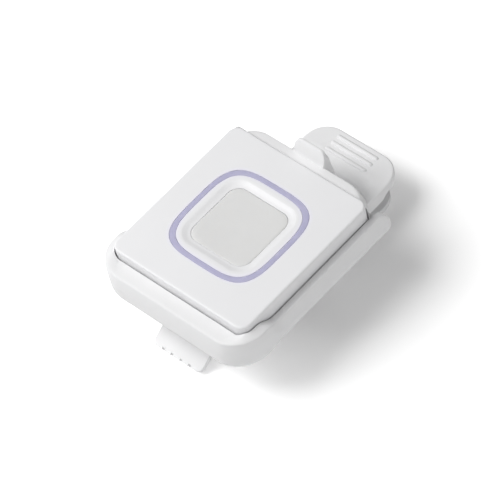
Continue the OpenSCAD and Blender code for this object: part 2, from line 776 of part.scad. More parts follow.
// The latch wall's plan from its outer face inwards, with ends that are round on the outside
function latch_plan() = let (c = latch_w / 2 - latch_end_r, low = asin(1 - latch_t / latch_end_r))
    concat(arc([c, -latch_end_r], latch_end_r, low, 90), arc([-c, -latch_end_r], latch_end_r, 90, 180 - low));

// Outline of an upright plate with round top corners, seen from the near end
function round_top(w, top_z, r, low_z) = concat(
    arc([w / 2 - r, top_z - r], r, 0, 90), arc([r - w / 2, top_z - r], r, 90, 180),
    [[-w / 2, low_z], [w / 2, low_z]]);

// Outline of a thumb pad: round at its far end, square where it starts
function pad_plan(w, near_y, far_y) = concat(
    arc([w / 2 - thumb_corner_r, far_y - thumb_corner_r], thumb_corner_r, 0, 90),
    arc([thumb_corner_r - w / 2, far_y - thumb_corner_r], thumb_corner_r, 90, 180),
    [[-w / 2, near_y], [w / 2, near_y]]);

// Outline of a neck that starts round at the near end
function neck_plan(w, near_y, far_y, r) = concat(
    [[w / 2, far_y], [-w / 2, far_y]],
    arc([r - w / 2, near_y + r], r, 180, 270), arc([w / 2 - r, near_y + r], r, 270, 360));

module grip_rib() {
    rod_x(rib_r, rib_l - 2 * rib_r);
    for (x = [-1, 1]) translate([x * (rib_l / 2 - rib_r), 0, 0]) sphere(r = rib_r, $fn = corner_facets);
}

module arm_plate() {
    difference() {
        translate([0, 0, -arm_depth]) linear_extrude(arm_t) {
            polygon(pad_plan(arm_w, arm_wide_y, arm_reach));
            polygon(neck_plan(arm_neck_w, -arm_near, arm_wide_y + over, arm_neck_r));
        }
        at_clip_screws() clip_screw_bore();
        translate([0, half_l + hollow_past, hollow_r - tray_depth - hollow_depth])
            rod_x(hollow_r, arm_w + over);
    }
    for (i = [0:rib_count - 1])
        translate([0, arm_reach - rib_inset - i * rib_pitch, rib_rise - rib_r - tray_depth]) grip_rib();
}

// Side flanges under the plate, which follow the pad's round end
module arm_flanges() {
    flange_low = arm_depth + flange_h;
    intersection() {
        translate([0, 0, -flange_low]) linear_extrude(flange_h + arm_t / 2) difference() {
            polygon(pad_plan(arm_w, arm_wide_y, arm_reach));
            translate([0, -flange_t, 0]) polygon(pad_plan(2 * flange_inner_x, arm_wide_y - over, arm_reach));
        }
        translate([-arm_w / 2, arm_wide_y, -flange_low])
            cube([arm_w, arm_reach - thumb_corner_r - arm_wide_y, 2 * flange_low]);
    }
}

// The ears that hold the pin and reach up into the plate
module arm_ears() {
    plate_z = arm_t / 2 - arm_depth;
    for (x = [-1, 1]) translate([x * (flange_inner_x + flange_t / 2), 0, 0]) {
        along_x(flange_t) polygon([pivot + [ear_r, 0], [pivot_y + ear_r + ear_spread, plate_z],
            [pivot_y - ear_r, plate_z], pivot - [ear_r, 0]]);
        translate([0, pivot_y, -pivot_depth]) rod_x(ear_r, flange_t);
    }
}

module clip_upper_arm() {
    color("whitesmoke") difference() {
        union() {
            arm_plate();
            arm_flanges();
            arm_ears();
        }
        translate([0, pivot_y, -pivot_depth]) rod_x(pin_r + pin_seat_gap, 2 * arm_w);
    }
}

// Top of the lever from its thumb end over the jaw's crest to the lip, in Y and Z
function lever_top() = concat(
    [[lever_reach, lever_top_z]],
    [for (i = [0:2 * arc_steps]) let (share = i / (2 * arc_steps))
        [lever_flat_y - (lever_flat_y + jaw_y) * share, ease(lever_top_z, jaw_top_z, share)]],
    [for (i = [1:arc_steps]) let (share = i / arc_steps)
        [-jaw_y - (lip_y - jaw_y) * share, jaw_top_z + (lip_top_z - jaw_top_z) * pow(share, lip_power)]]);

// Direction square to a line of points at one of them, pointing down
function down_from(points, i) = let (
    a = points[max(i - 1, 0)], b = points[min(i + 1, len(points) - 1)], d = b - a)
    [d[1], -d[0]] / norm(d) * (d[0] > 0 ? 1 : -1);

// Underside of the lever, one thickness below its top
function lever_low() = let (top = lever_top())
    [for (i = [0:len(top) - 1]) let (down = down_from(top, i), p = top[i] + lever_t * down)
        [i == len(top) - 1 ? -lip_y : p[0], max(p[1], -lever_depth)]];

function reversed(points) = [for (i = [len(points) - 1:-1:0]) points[i]];

module lever_plan() {
    difference() {
        union() {
            polygon(pad_plan(lever_full_w, lever_flat_y + over, lever_reach));
            polygon([[lever_full_w / 2, lever_flat_y + 2 * over], [jaw_w / 2, lever_flat_y - lever_taper_l],
                [-jaw_w / 2, lever_flat_y - lever_taper_l], [-lever_full_w / 2, lever_flat_y + 2 * over]]);
            polygon(neck_plan(jaw_w, -lip_y, lever_flat_y - lever_taper_l + over, lip_corner_r));
        }
        for (i = [0:notch_count - 1])
            translate([(i - (notch_count - 1) / 2) * notch_pitch - notch_w / 2, -lip_y - over])
                square([notch_w, notch_d + over]);
    }
}

module lever_ears() {
    for (x = [-1, 1]) translate([x * lever_ear_x, 0, 0]) {
        along_x(lever_ear_t) polygon([pivot + [lever_ear_r, 0],
            [pivot_y + lever_ear_r + lever_ear_spread, lever_top_z - lever_t / 2],
            [pivot_y - lever_ear_r - lever_ear_spread, lever_top_z - lever_t / 2],
            pivot - [lever_ear_r, 0]]);
        translate([0, pivot_y, -pivot_depth]) rod_x(lever_ear_r, lever_ear_t);
    }
}

module clip_lever() {
    color("whitesmoke") difference() {
        union() {
            intersection() {
                along_x(lever_full_w + over) polygon(concat(lever_top(), reversed(lever_low())));
                translate([0, 0, -lever_depth - over]) linear_extrude(lever_depth) lever_plan();
            }
            lever_ears();
        }
        translate([0, pivot_y, -pivot_depth]) rod_x(pin_r + pin_run_gap, 2 * arm_w);
    }
}

module clip_pin() {
    color("silver") translate([0, pivot_y, -pivot_depth]) rod_x(pin_r, arm_w);
}

// Middle line of the spring: a leg under the arm, the turns round the pin and a leg on the lever
function spring_path() = let (
    turns = coil_turns + 0.5, steps = turn_steps * turns, side_x = coil_pitch * turns / 2,
    leg_y = pivot_y + leg_l,
    arm_leg_z = -arm_depth - wire_d / 2 - leg_gap,
    lever_leg_z = lever_top_z + wire_d / 2 + leg_gap)
    concat([[-side_x, leg_y, arm_leg_z]],
        [for (i = [0:steps]) let (a = 90 + 360 * i / turn_steps)
            [coil_pitch * i / turn_steps - side_x, pivot_y + coil_r * cos(a), coil_r * sin(a) - pivot_depth]],
        [[side_x, leg_y, lever_leg_z]]);

function unit(v) = v / norm(v);

// Rings of a round wire's section along a line of points
function wire_rings(path, r, sides) = [for (i = [0:len(path) - 1]) let (
    along = unit(path[min(i + 1, len(path) - 1)] - path[max(i - 1, 0)]),
    across = unit([1, 0, 0] - along * along[0]), up = cross(along, across))
    [for (k = [0:sides - 1]) let (a = 360 * k / sides) path[i] + r * (cos(a) * across + sin(a) * up)]];

// A closed tube from rings of points
module tube(rings) {
    sides = len(rings[0]);
    last = (len(rings) - 1) * sides;
    polyhedron([for (ring = rings) for (p = ring) p], concat(
        [for (i = [0:len(rings) - 2], k = [0:sides - 1]) let (n = (k + 1) % sides)
            [i * sides + k, i * sides + n, (i + 1) * sides + k]],
        [for (i = [0:len(rings) - 2], k = [0:sides - 1]) let (n = (k + 1) % sides)
            [i * sides + n, (i + 1) * sides + n, (i + 1) * sides + k]],
        [for (k = [1:sides - 2]) [0, k + 1, k]],
        [for (k = [1:sides - 2]) [last, last + k, last + k + 1]]));
}

// Least gap between two stretches of the wire that lie half a turn or more apart
function least_gap(path, d) = min([for (i = [0:len(path) - 1], k = [0:len(path) - 1])
    if (k > i + turn_steps / 2) norm(path[i] - path[k]) - d]);

module clip_spring() {
    path = spring_path();
    echo(spring_least_gap_mm = least_gap(path, wire_d));
    color("silver") tube(wire_rings(path, wire_d / 2, wire_facets));
}

placed() front_cover();
placed() rear_cover();
placed() case_seal();
placed() case_screws();
placed() light_ring();
placed() light_guide();
placed() leds();
placed() button_frame();
placed() button_cap();
placed() tactile_switch();
placed() switch_plunger();
placed() circuit_board();
placed() controller_chip();
placed() radio_module();
placed() antenna();
placed() coin_cell();
placed() battery_contact_negative();
placed() battery_contact_positive();
placed() cradle_tray();
placed() latch_wall();
placed() clip_upper_arm();
placed() clip_lever();
placed() clip_pin();
placed() clip_spring();
placed() clip_screws();
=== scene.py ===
import math

import bmesh
import bpy
from mathutils import Matrix, Vector


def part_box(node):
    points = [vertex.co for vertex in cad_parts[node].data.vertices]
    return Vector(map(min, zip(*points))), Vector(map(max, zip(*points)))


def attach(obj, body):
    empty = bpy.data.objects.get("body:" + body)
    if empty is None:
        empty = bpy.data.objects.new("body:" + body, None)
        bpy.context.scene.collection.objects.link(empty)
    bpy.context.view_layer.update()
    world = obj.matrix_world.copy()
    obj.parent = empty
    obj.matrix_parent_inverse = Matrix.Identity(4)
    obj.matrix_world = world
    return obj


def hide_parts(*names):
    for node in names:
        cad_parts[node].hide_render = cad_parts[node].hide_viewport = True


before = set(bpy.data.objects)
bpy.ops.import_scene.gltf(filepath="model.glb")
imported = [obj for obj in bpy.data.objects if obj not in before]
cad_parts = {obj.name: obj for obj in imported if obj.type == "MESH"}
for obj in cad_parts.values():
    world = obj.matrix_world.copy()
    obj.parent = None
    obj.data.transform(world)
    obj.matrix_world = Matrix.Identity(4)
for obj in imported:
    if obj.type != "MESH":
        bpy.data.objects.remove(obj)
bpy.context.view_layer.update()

# Lengths are millimetres in the pendant's own frame: the origin is the middle of its front face,
# +X runs across it and +Y to the latch and the thumb pads. The CAD's front cover says where it is.
MM = 0.001
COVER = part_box("front_cover")
SHIFT = Vector(((COVER[0].x + COVER[1].x) / 2, (COVER[0].y + COVER[1].y) / 2, COVER[1].z))

# Pendant: half widths, radii and heights
HALF_W, HALF_L = 19.55, 20.45
CORNER_R, EDGE_R, WALL = 2.4, 0.45, 1.3
FACE_T, PART_Z = 1.4, -5.2
POST_X, POST_Y, POST_R, POST_BORE_R = 16.5, 17.4, 1.9, 0.63
RING_OUTER, RING_INNER, RING_POWER = 12.915, 11.715, 3.85
RING_FIT, RING_EDGE, RING_SINK = 0.03, 0.07, -0.03
RECESS_TOP, RECESS_TOP_R = 10.0, 4.3
RECESS_LOW, RECESS_LOW_R, RECESS_Z = 8.4, 3.0, -0.5
CAP_HALF, CAP_R, CAP_EDGE, CAP_DISH = 8.36, 2.96, 0.16, 0.25
CAP_TOP, FLANGE_TOP, FLANGE_LOW, CAP_POST_Z = -0.5, -1.55, -2.15, -2.5
CAP_FLANGE, CAP_FLANGE_R, CAP_POST_R = RECESS_LOW + 1, 4, 1.6

# Cradle tray: the side rails, the near wall and the pocket between them
TRAY_FLOOR, TRAY_LOW = -9.45, -11.5
RAIL_IN, RAIL_OUT, RAIL_END = 19.85, 22.3, 23.45
RAIL_NOSE_R, RAIL_HEEL_R, RAIL_PLAN_R = 3.2, 1.5, 1.2
NEAR_IN, NEAR_OUT, CRADLE_R, POCKET_R = 20.75, 25.0, 8.0, CORNER_R + 0.3
TRAY_SCREWS = [(x, y) for x in (-5, 5) for y in (-13, 4)]
HEAD_BORE_R, HEAD_BORE_LOW, SCREW_BORE_R, BORE_LAP = 1.64, -10.93, 0.84, 0.43
# The wall's section at the rails, the near corners and the near wall. rim is a share of the
# thickness, belly a radius, and the others are heights.
RAIL = dict(top=-3.7, rim=0.67, rim_z=-3.75, edge_z=-6.9, belly_z=-7.4, belly=4.1)
TURN = dict(top=-1.5, rim=0.88, rim_z=-2.3, edge_z=-4.3, belly_z=-8.6, belly=2.9)
NEAR = dict(top=-2.6, rim=0.885, rim_z=-2.65, edge_z=-6.4, belly_z=-9.3, belly=2.2)
# Where a rail's section starts to turn into the corner's, over what length and how far
TURN_START, TURN_RUN, TURN_SHARE = -12, 5, 0.9
# Where the rail's outer points start to run ahead of the inner ones, and over what length
SKEW_START, SKEW_RUN = -9, 8.1
# Limits that cut nothing off a section
FREE_HIGH, FREE_LOW = 9, -99

# Latch wall, its thumb tab and the bead that it turns on
LATCH_OUT, LATCH_MID, LATCH_T, LATCH_TOP = 22.85, 21.725, 2.25, -0.85
LATCH_HALF, LATCH_END_R, LATCH_TOP_R, LATCH_EDGE = 19.2, 5.0, 3.0, 0.22
LATCH_LOW, LATCH_FOOT, LATCH_FOOT_IN = -9.15, -9.0, 0.12
BEAD_R, BEAD_EDGE, GROOVE_R, GROOVE_HALF = 0.5, 0.1, 0.56, 18.8
TAB_HALF, TAB_CORNER_R, TAB_TOP, TAB_LEAN, TAB_EDGE = 4.3, 1.8, 2.7, 0.5, 0.16
# The tab and its gusset from the side, as Y and Z
TAB_SIDE = [(21.7, -8.8), (22.85, -8.8), (25.3, -7.75), (25.75, -7.3), (25.5, -5.0), (25.05, -1.5),
            (24.75, 1.1), (24.65, 2.55), (24.5, 2.7), (24.15, 2.7), (24.0, 2.55), (22.9, 0.1),
            (22.5, -0.85), (21.7, -1.55)]

# Clip: the upper arm with its ribbed pad and hollow
PAD_LOW, PAD_TOP, PAD_REACH, PAD_HALF = -13.7, -11.5, 38.65, 12.25
PAD_START, PAD_EDGE, THUMB_R, FLANGE_T, FLANGE_H = 7.6, 0.5, 5.8, 1.65, 1.4
# The flange under the pad: where it comes and goes, each with the length that takes
SKIRT_START, SKIRT_START_RUN, SKIRT_END, SKIRT_END_RUN = 8.2, 2, 30, 3
HOLLOW_R, HOLLOW_Y, HOLLOW_DEPTH, HOLLOW_HALF, HOLLOW_FADE = 7.8, 27.2, 1.45, 7.6, 3.6
RIBS, RIB_R, RIB_HALF, RIB_PITCH, RIB_HEIGHT, RIB_IN = 3, 0.6, 6, 2.0, 0.4, 1.9
NECK_W, NECK_L, NECK_Y, NECK_R, NECK_EDGE = 16.0, 26.0, -3.5, 1.5, 0.15
# Corners that are hidden under the cradle
ARM_HIDDEN_R = 0.4

# Clip: the lever, its jaw and lip, and the ears on the pin
LEVER_LOW, LEVER_T, LEVER_REACH, LEVER_HALF, LEVER_EDGE = -21.4, 1.5, 37.35, 10.7, 0.28
RISE_Y, JAW_Y, JAW_Z, JAW_HALF, LIP_Y, LIP_R, LIP_CURVE = 6, -12.8, -14.0, 7.15, -25.6, 1.4, 1.35
NARROW_Y, NARROW_RUN = 2, 4.5
NOTCHES, NOTCH_PITCH, NOTCH_HALF, NOTCH_DEPTH = 4, 2.6, 0.4, 0.5
PIVOT_Y, PIVOT_Z = 12.0, -16.9
ARM_EAR_R, ARM_EAR_LAP, ARM_EAR_CLEAR, ARM_EYE_R = 2.5, 0.7, 0.06, 1.02
LEVER_EAR_X, LEVER_EAR_HALF_T, LEVER_EAR_R, LEVER_EAR_DOWN, LEVER_EYE_R = 9.45, 0.8, 2.2, 3.6, 1.07

# Spring: LEG_OFF is how far a leg's axis stands off the arm and the lever
WIRE_R, COIL_R, COIL_TURNS, COIL_PITCH = 0.4, 2.1, 5.5, 1.25
LEG_LENGTH, LEG_OFF, LEG_TIP = 10, 0.45, 0.3

# Camera, on a sensor 36 mm wide: where it is, and which way its back and its right side point
CAMERA_AT, CAMERA_LENS = (410.6, -299.3, 638.1), 273.6
CAMERA_BACK, CAMERA_RIGHT = (0.4983, -0.3646, 0.7866), (0.7347, 0.6593, -0.1598)

# Painted light on the floor: the floor's own glow lifts it to white and is least round the middle of the
# shadow, from FLOOR_LOW there to FLOOR_HIGH on the open floor, which paints the shadow's fading
FLOOR_LOW, FLOOR_HIGH = 0.145, 0.75
SHADE_MIDDLE, SHADE_START, SHADE_END = (15, 10), 16, 70
# The room's light, and how much darker it gets on the latch's side
WORLD, WORLD_SLOPE = 0.28, 0.16
# Lamps: direction from the object, power in watts and size in metres
LAMPS = {"key": ((-0.48, -0.35, 0.81), 2.31, 0.33), "side": ((0.9, 0.0, 0.25), 0.58, 0.3)}
LAMP_AWAY = 0.5


def place(x, y, z):
    return Vector((SHIFT.x + x * MM, SHIFT.y + y * MM, SHIFT.z + z * MM))


def lerp(a, b, t):
    return a + (b - a) * t


def ease(t):
    t = min(max(t, 0), 1)
    return t * t * (3 - 2 * t)


def unit(angle):
    # Cosine and sine of an angle in degrees
    return math.cos(math.radians(angle)), math.sin(math.radians(angle))


def arc(r, d):
    # Height of a circle of radius r at a distance d from its middle
    return math.sqrt(max(r * r - d * d, 0))


def spread(low, high, steps):
    return [low + (high - low) * i / steps for i in range(steps + 1)]


# Meshes

def shade(mesh, sharp):
    for face in mesh.polygons:
        face.use_smooth = True
    mesh.set_sharp_from_angle(angle=math.radians(sharp))


def bake(obj):
    # Applies the modifiers
    deps = bpy.context.evaluated_depsgraph_get()
    mesh = bpy.data.meshes.new_from_object(obj.evaluated_get(deps))
    obj.modifiers.clear()
    obj.data = mesh


def solid(name, verts, faces, sharp=32, bevel=0.0):
    mesh = bpy.data.meshes.new(name)
    mesh.from_pydata([place(*v) for v in verts], [], faces)
    bm = bmesh.new()
    bm.from_mesh(mesh)
    bmesh.ops.remove_doubles(bm, verts=bm.verts, dist=2e-6)
    bmesh.ops.dissolve_degenerate(bm, edges=bm.edges, dist=1e-7)
    bmesh.ops.recalc_face_normals(bm, faces=bm.faces)
    bm.to_mesh(mesh)
    bm.free()
    obj = bpy.data.objects.new(name, mesh)
    bpy.context.scene.collection.objects.link(obj)
    if bevel:
        mod = obj.modifiers.new("bevel", "BEVEL")
        mod.width = bevel * MM
        mod.segments = 2
        mod.limit_method = "ANGLE"
        mod.angle_limit = math.radians(40)
        bake(obj)
    shade(obj.data, sharp)
    return obj


def cut(obj, cutter, sharp):
    mod = obj.modifiers.new("cut", "BOOLEAN")
    mod.operation = "DIFFERENCE"
    mod.solver = "EXACT"
    mod.object = cutter
    bake(obj)
    bpy.data.objects.remove(cutter, do_unlink=True)
    shade(obj.data, sharp)


def loft(rings, around=False):
    # Skins rings of points, either with a cap at each end or around to the first ring again
    n = len(rings[0])
    verts = [v for ring in rings for v in ring]
    faces = []
    for i in range(len(rings) if around else len(rings) - 1):
        a, b = i * n, (i + 1) % len(rings) * n
        for k in range(n):
            j = (k + 1) % n
            faces.append((a + k, a + j, b + j, b + k))
    if not around:
        faces.append(tuple(range(n))[::-1])
        faces.append(tuple(range((len(rings) - 1) * n, len(rings) * n)))
    return verts, faces


def joined(*parts):
    verts, faces = [], []
    for v, f in parts:
        base = len(verts)
        verts += v
        faces += [tuple(i + base for i in face) for face in f]
    return verts, faces


def quadrants(marks):
    # Angles from 0 to 90 repeated round the circle
    q = sorted(set(marks))
    return (q[:-1] + [180 - a for a in reversed(q)][:-1] + [180 + a for a in q[:-1]]
            + [360 - a for a in reversed(q)][:-1])


# Angles that are close together at the corners, for the button's shapes and for the pendant's body
SQUARE = quadrants(spread(0, 28, 8) + spread(28, 62, 16) + spread(62, 90, 8))
BODY = quadrants(spread(0, 40, 10) + spread(40, 53, 14) + spread(53, 90, 10))


def round_ray(a, b, r):
    # Distance to the edge of a rounded rectangle of half sizes a and b, by angle
    def reach(angle):
        c, s = (abs(v) for v in unit(angle))
        t = min(a / c if c > 1e-9 else 1e9, b / s if s > 1e-9 else 1e9)
        if t * c > a - r and t * s > b - r:
            cx, cy = a - r, b - r
            dot = c * cx + s * cy
            t = dot + math.sqrt(max(dot * dot - (cx * cx + cy * cy - r * r), 0))
        return t
    return reach


def power_ray(half):
    # The same for the ring's soft square
    def reach(angle):
        c, s = (abs(v) for v in unit(angle))
        return half / (c ** RING_POWER + s ** RING_POWER) ** (1 / RING_POWER)
    return reach


def between(f, g, t):
    return lambda angle: lerp(f(angle), g(angle), t)


def polar(angles, reach, z):
    return [(reach(a) * unit(a)[0], reach(a) * unit(a)[1], z) for a in angles]


def outline(w, l, radii, inset=0.0, steps=6, side=1, centre=(0, 0)):
    # A rectangle with a radius for each corner, anticlockwise from the +X +Y corner. A corner has
    # steps faces and a straight has side.
    points = []
    for k, (sx, sy) in enumerate(((1, 1), (-1, 1), (-1, -1), (1, -1))):
        r = max(radii[k] - inset, 0.02)
        cx = sx * (w / 2 - inset - r)
        cy = sy * (l / 2 - inset - r)
        for i in range(steps + 1):
            a = math.radians(90 * k + 90 * i / steps)
            points.append((centre[0] + cx + r * math.cos(a), centre[1] + cy + r * math.sin(a)))
    if side == 1:
        return points
    full = []
    n = len(points)
    for i, p in enumerate(points):
        full.append(p)
        if (i + 1) % (steps + 1) == 0:
            q = points[(i + 1) % n]
            full += [(lerp(p[0], q[0], j / side), lerp(p[1], q[1], j / side)) for j in range(1, side)]
    return full


def rod(axis, r, a, b, centre, sides, soft=0.0):
    # A round rod along an axis from a to b, with its ends softened
    ends = [(a, r - soft), (a + soft, r), (b - soft, r), (b, r - soft)] if soft else [(a, r), (b, r)]
    rings = []
    for t, radius in ends:
        ring = []
        for k in range(sides):
            u = radius * math.cos(2 * math.pi * k / sides)
            v = radius * math.sin(2 * math.pi * k / sides)
            if axis == "x":
                ring.append((t, centre[0] + u, centre[1] + v))
            else:
                ring.append((centre[0] + u, centre[1] + v, t))
        rings.append(ring)
    return loft(rings)


def capsule(x0, x1, y, z, r):
    # A rod along X with round ends
    sides, steps, last = 20, 6, 88
    rings = []
    for end, way in ((x0, -1), (x1, 1)):
        for a in spread(last, 0, steps) if way < 0 else spread(0, last, steps):
            c, s = unit(a)
            radius = r * c
            x = end + way * (r * s - r)
            rings.append([(x, y + radius * math.cos(2 * math.pi * k / sides),
                           z + radius * math.sin(2 * math.pi * k / sides)) for k in range(sides)])
    return loft(rings)


def wire(points, r, sides=14):
    # A wire along points, with slightly thinner ends
    rings = []
    for i, p in enumerate(points):
        a, b = Vector(points[max(i - 1, 0)]), Vector(points[min(i + 1, len(points) - 1)])
        along = (b - a).normalized()
        across = Vector((1, 0, 0)) - along * along.x
        across.normalize()
        up = along.cross(across)
        radius = r * 0.8 if i in (0, len(points) - 1) else r
        rings.append([tuple(Vector(p) + radius * (math.cos(2 * math.pi * k / sides) * across
                                                  + math.sin(2 * math.pi * k / sides) * up))
                      for k in range(sides)])
    return loft(rings)


# Materials

class Shader:
    def __init__(self, name):
        self.mat = bpy.data.materials.new(name)
        self.mat.use_nodes = True
        self.tree = self.mat.node_tree
        self.bsdf = self.tree.nodes["Principled BSDF"]
        self.coord = self.new("ShaderNodeTexCoord").outputs["Object"]

    def new(self, kind, **settings):
        node = self.tree.nodes.new(kind)
        for key, value in settings.items():
            setattr(node, key, value)
        return node

    def link(self, a, b):
        self.tree.links.new(a, b)

    def put(self, target, value):
        if isinstance(value, (int, float, tuple)):
            target.default_value = value
        else:
            self.link(value, target)

    def math(self, op, a, b=0.0):
        node = self.new("ShaderNodeMath", operation=op)
        self.put(node.inputs[0], a)
        self.put(node.inputs[1], b)
        return node.outputs[0]

    def noise(self, size_mm, detail, rough=0.55, stretch=None):
        source = self.coord
        if stretch:
            source = self.new("ShaderNodeMapping")
            source.inputs["Scale"].default_value = stretch
            self.link(self.coord, source.inputs["Vector"])
            source = source.outputs["Vector"]
        node = self.new("ShaderNodeTexNoise")
        node.inputs["Scale"].default_value = 1 / (size_mm * MM)
        node.inputs["Detail"].default_value = detail
        node.inputs["Roughness"].default_value = rough
        self.link(source, node.inputs["Vector"])
        return node.outputs["Fac"]

    def range(self, value, low, high, from_low=0.3, from_high=0.7):
        # low to high as value goes from from_low to from_high. Noise mostly stays in 0.3 to 0.7.
        node = self.new("ShaderNodeMapRange")
        self.put(node.inputs["Value"], value)
        node.inputs["From Min"].default_value = from_low
        node.inputs["From Max"].default_value = from_high
        node.inputs["To Min"].default_value = low
        node.inputs["To Max"].default_value = high
        return node.outputs["Result"]

    def mix(self, factor, a, b):
        # Inputs 6 and 7 and output 2 are the Mix node's colours
        node = self.new("ShaderNodeMix", data_type="RGBA")
        self.put(node.inputs[0], factor)
        self.put(node.inputs[6], a)
        self.put(node.inputs[7], b)
        return node.outputs[2]

    def bump(self, height, strength, depth_mm, below=None):
        node = self.new("ShaderNodeBump")
        node.inputs["Strength"].default_value = strength
        node.inputs["Distance"].default_value = depth_mm * MM
        self.link(height, node.inputs["Height"])
        if below:
            self.link(below, node.inputs["Normal"])
        return node.outputs["Normal"]

    def axis(self, name):
        node = self.new("ShaderNodeSeparateXYZ")
        self.link(self.coord, node.inputs[0])
        return node.outputs[name]

    def cloudy(self, amount, radius):
        # Light that spreads under the surface, with its reach in metres for red, green and blue
        self.bsdf.inputs["Subsurface Weight"].default_value = amount
        self.bsdf.inputs["Subsurface Radius"].default_value = radius
        self.bsdf.inputs["Subsurface Scale"].default_value = 1.0


def rgb(r, g, b):
    return (r, g, b, 1.0)


def scaled(colour, share, most=1.0):
    return tuple(min(c * share, most) for c in colour[:3]) + (1.0,)


def plastic(name, colour, rough, grain, depth, worn=0.985, sss=0.0):
    # Moulded plastic: a fine grain in mm with its depth in mm, a faint uneven tone, scuffs that
    # change the roughness, and edges rubbed lighter and smoother
    s = Shader(name)
    edge_low, edge_high, rubbed_share, rubbed_rough, scuff_rough = 0.52, 0.6, 0.6, -0.06, 0.05
    broad = s.noise(9, 4)
    fine = s.noise(grain, 2)
    grit = s.noise(grain / 3, 1)
    edge = s.new("ShaderNodeNewGeometry").outputs["Pointiness"]
    tone = s.mix(s.range(broad, 0, 1), colour, scaled(colour, worn))
    rubbed = scaled(colour, 1.02, 0.9)
    s.put(s.bsdf.inputs["Base Color"],
          s.mix(s.range(edge, 0, rubbed_share, edge_low, edge_high), tone, rubbed))
    scuff = s.noise(3, 6, 0.7, (1, 0.25, 1))
    worn_rough = s.math("ADD", s.range(scuff, rough - scuff_rough, rough + scuff_rough),
                        s.range(edge, 0, rubbed_rough, edge_low, edge_high))
    s.put(s.bsdf.inputs["Roughness"], worn_rough)
    low = s.bump(grit, 0.5, depth / 2)
    s.put(s.bsdf.inputs["Normal"], s.bump(fine, 0.6, depth, low))
    s.bsdf.inputs["Specular IOR Level"].default_value = 0.3
    if sss:
        s.cloudy(sss, (0.0009, 0.0008, 0.0007))
    return s


def painted_ring_glow(s, colour):
    # Painted light: the lit ring's glow, painted as a faint tint in the plastic beside it, by the
    # distance from the ring's middle line as a share of its half width
    full, gone, strength = 0.055, 0.115, 0.85
    middle = (RING_OUTER + RING_INNER) / 2 * MM
    x = s.math("ABSOLUTE", s.math("SUBTRACT", s.axis("X"), SHIFT.x))
    y = s.math("ABSOLUTE", s.math("SUBTRACT", s.axis("Y"), SHIFT.y))
    total = s.math("ADD", s.math("POWER", s.math("DIVIDE", x, middle), RING_POWER),
                   s.math("POWER", s.math("DIVIDE", y, middle), RING_POWER))
    away = s.math("ABSOLUTE", s.math("SUBTRACT", s.math("POWER", total, 1 / RING_POWER), 1.0))
    near = s.range(away, 1, 0, full, gone)
    plain = s.bsdf.inputs["Base Color"].links[0].from_socket
    s.put(s.bsdf.inputs["Base Color"], s.mix(s.math("MULTIPLY", near, strength), plain, colour))
    return s


def metal(name, colour, rough, grain, stretch=None):
    # Metal with streaks of a grain in mm and duller blots
    s = Shader(name)
    streak = s.noise(grain, 4, 0.6, stretch)
    blot = s.noise(2.5, 3)
    s.put(s.bsdf.inputs["Base Color"], s.mix(s.range(blot, 0, 1), colour, scaled(colour, 0.86)))
    s.put(s.bsdf.inputs["Roughness"], s.range(streak, rough - 0.08, rough + 0.1))
    s.put(s.bsdf.inputs["Normal"], s.bump(streak, 0.4, 0.01))
    s.bsdf.inputs["Metallic"].default_value = 1.0
    return s


def lens(name, colour, pale):
    # Milky plastic, a little uneven
    s = Shader(name)
    cloud = s.noise(2.2, 3)
    fine = s.noise(0.25, 2)
    s.put(s.bsdf.inputs["Base Color"], s.mix(s.range(cloud, 0, 1), colour, pale))
    s.put(s.bsdf.inputs["Roughness"], s.range(fine, 0.3, 0.42))
    s.put(s.bsdf.inputs["Normal"], s.bump(fine, 0.3, 0.004))
    s.cloudy(0.2, (0.0006, 0.0006, 0.0008))
    return s


def board_finish():
    # Green solder mask over raised tracks
    s = Shader("board_finish")
    cells = s.new("ShaderNodeTexVoronoi", distance="CHEBYCHEV")
    cells.inputs["Scale"].default_value = 1 / (2.4 * MM)
    s.link(s.coord, cells.inputs["Vector"])
    track = s.range(cells.outputs["Distance"], 0, 1, 0.42, 0.5)
    mask = s.mix(s.range(s.noise(5, 3), 0, 1), rgb(0.02, 0.16, 0.06), rgb(0.015, 0.12, 0.05))
    s.put(s.bsdf.inputs["Base Color"], s.mix(track, mask, rgb(0.05, 0.27, 0.11)))
    s.put(s.bsdf.inputs["Roughness"], s.range(s.noise(0.6, 2), 0.3, 0.45))
    s.put(s.bsdf.inputs["Normal"], s.bump(track, 0.5, 0.03))
    return s


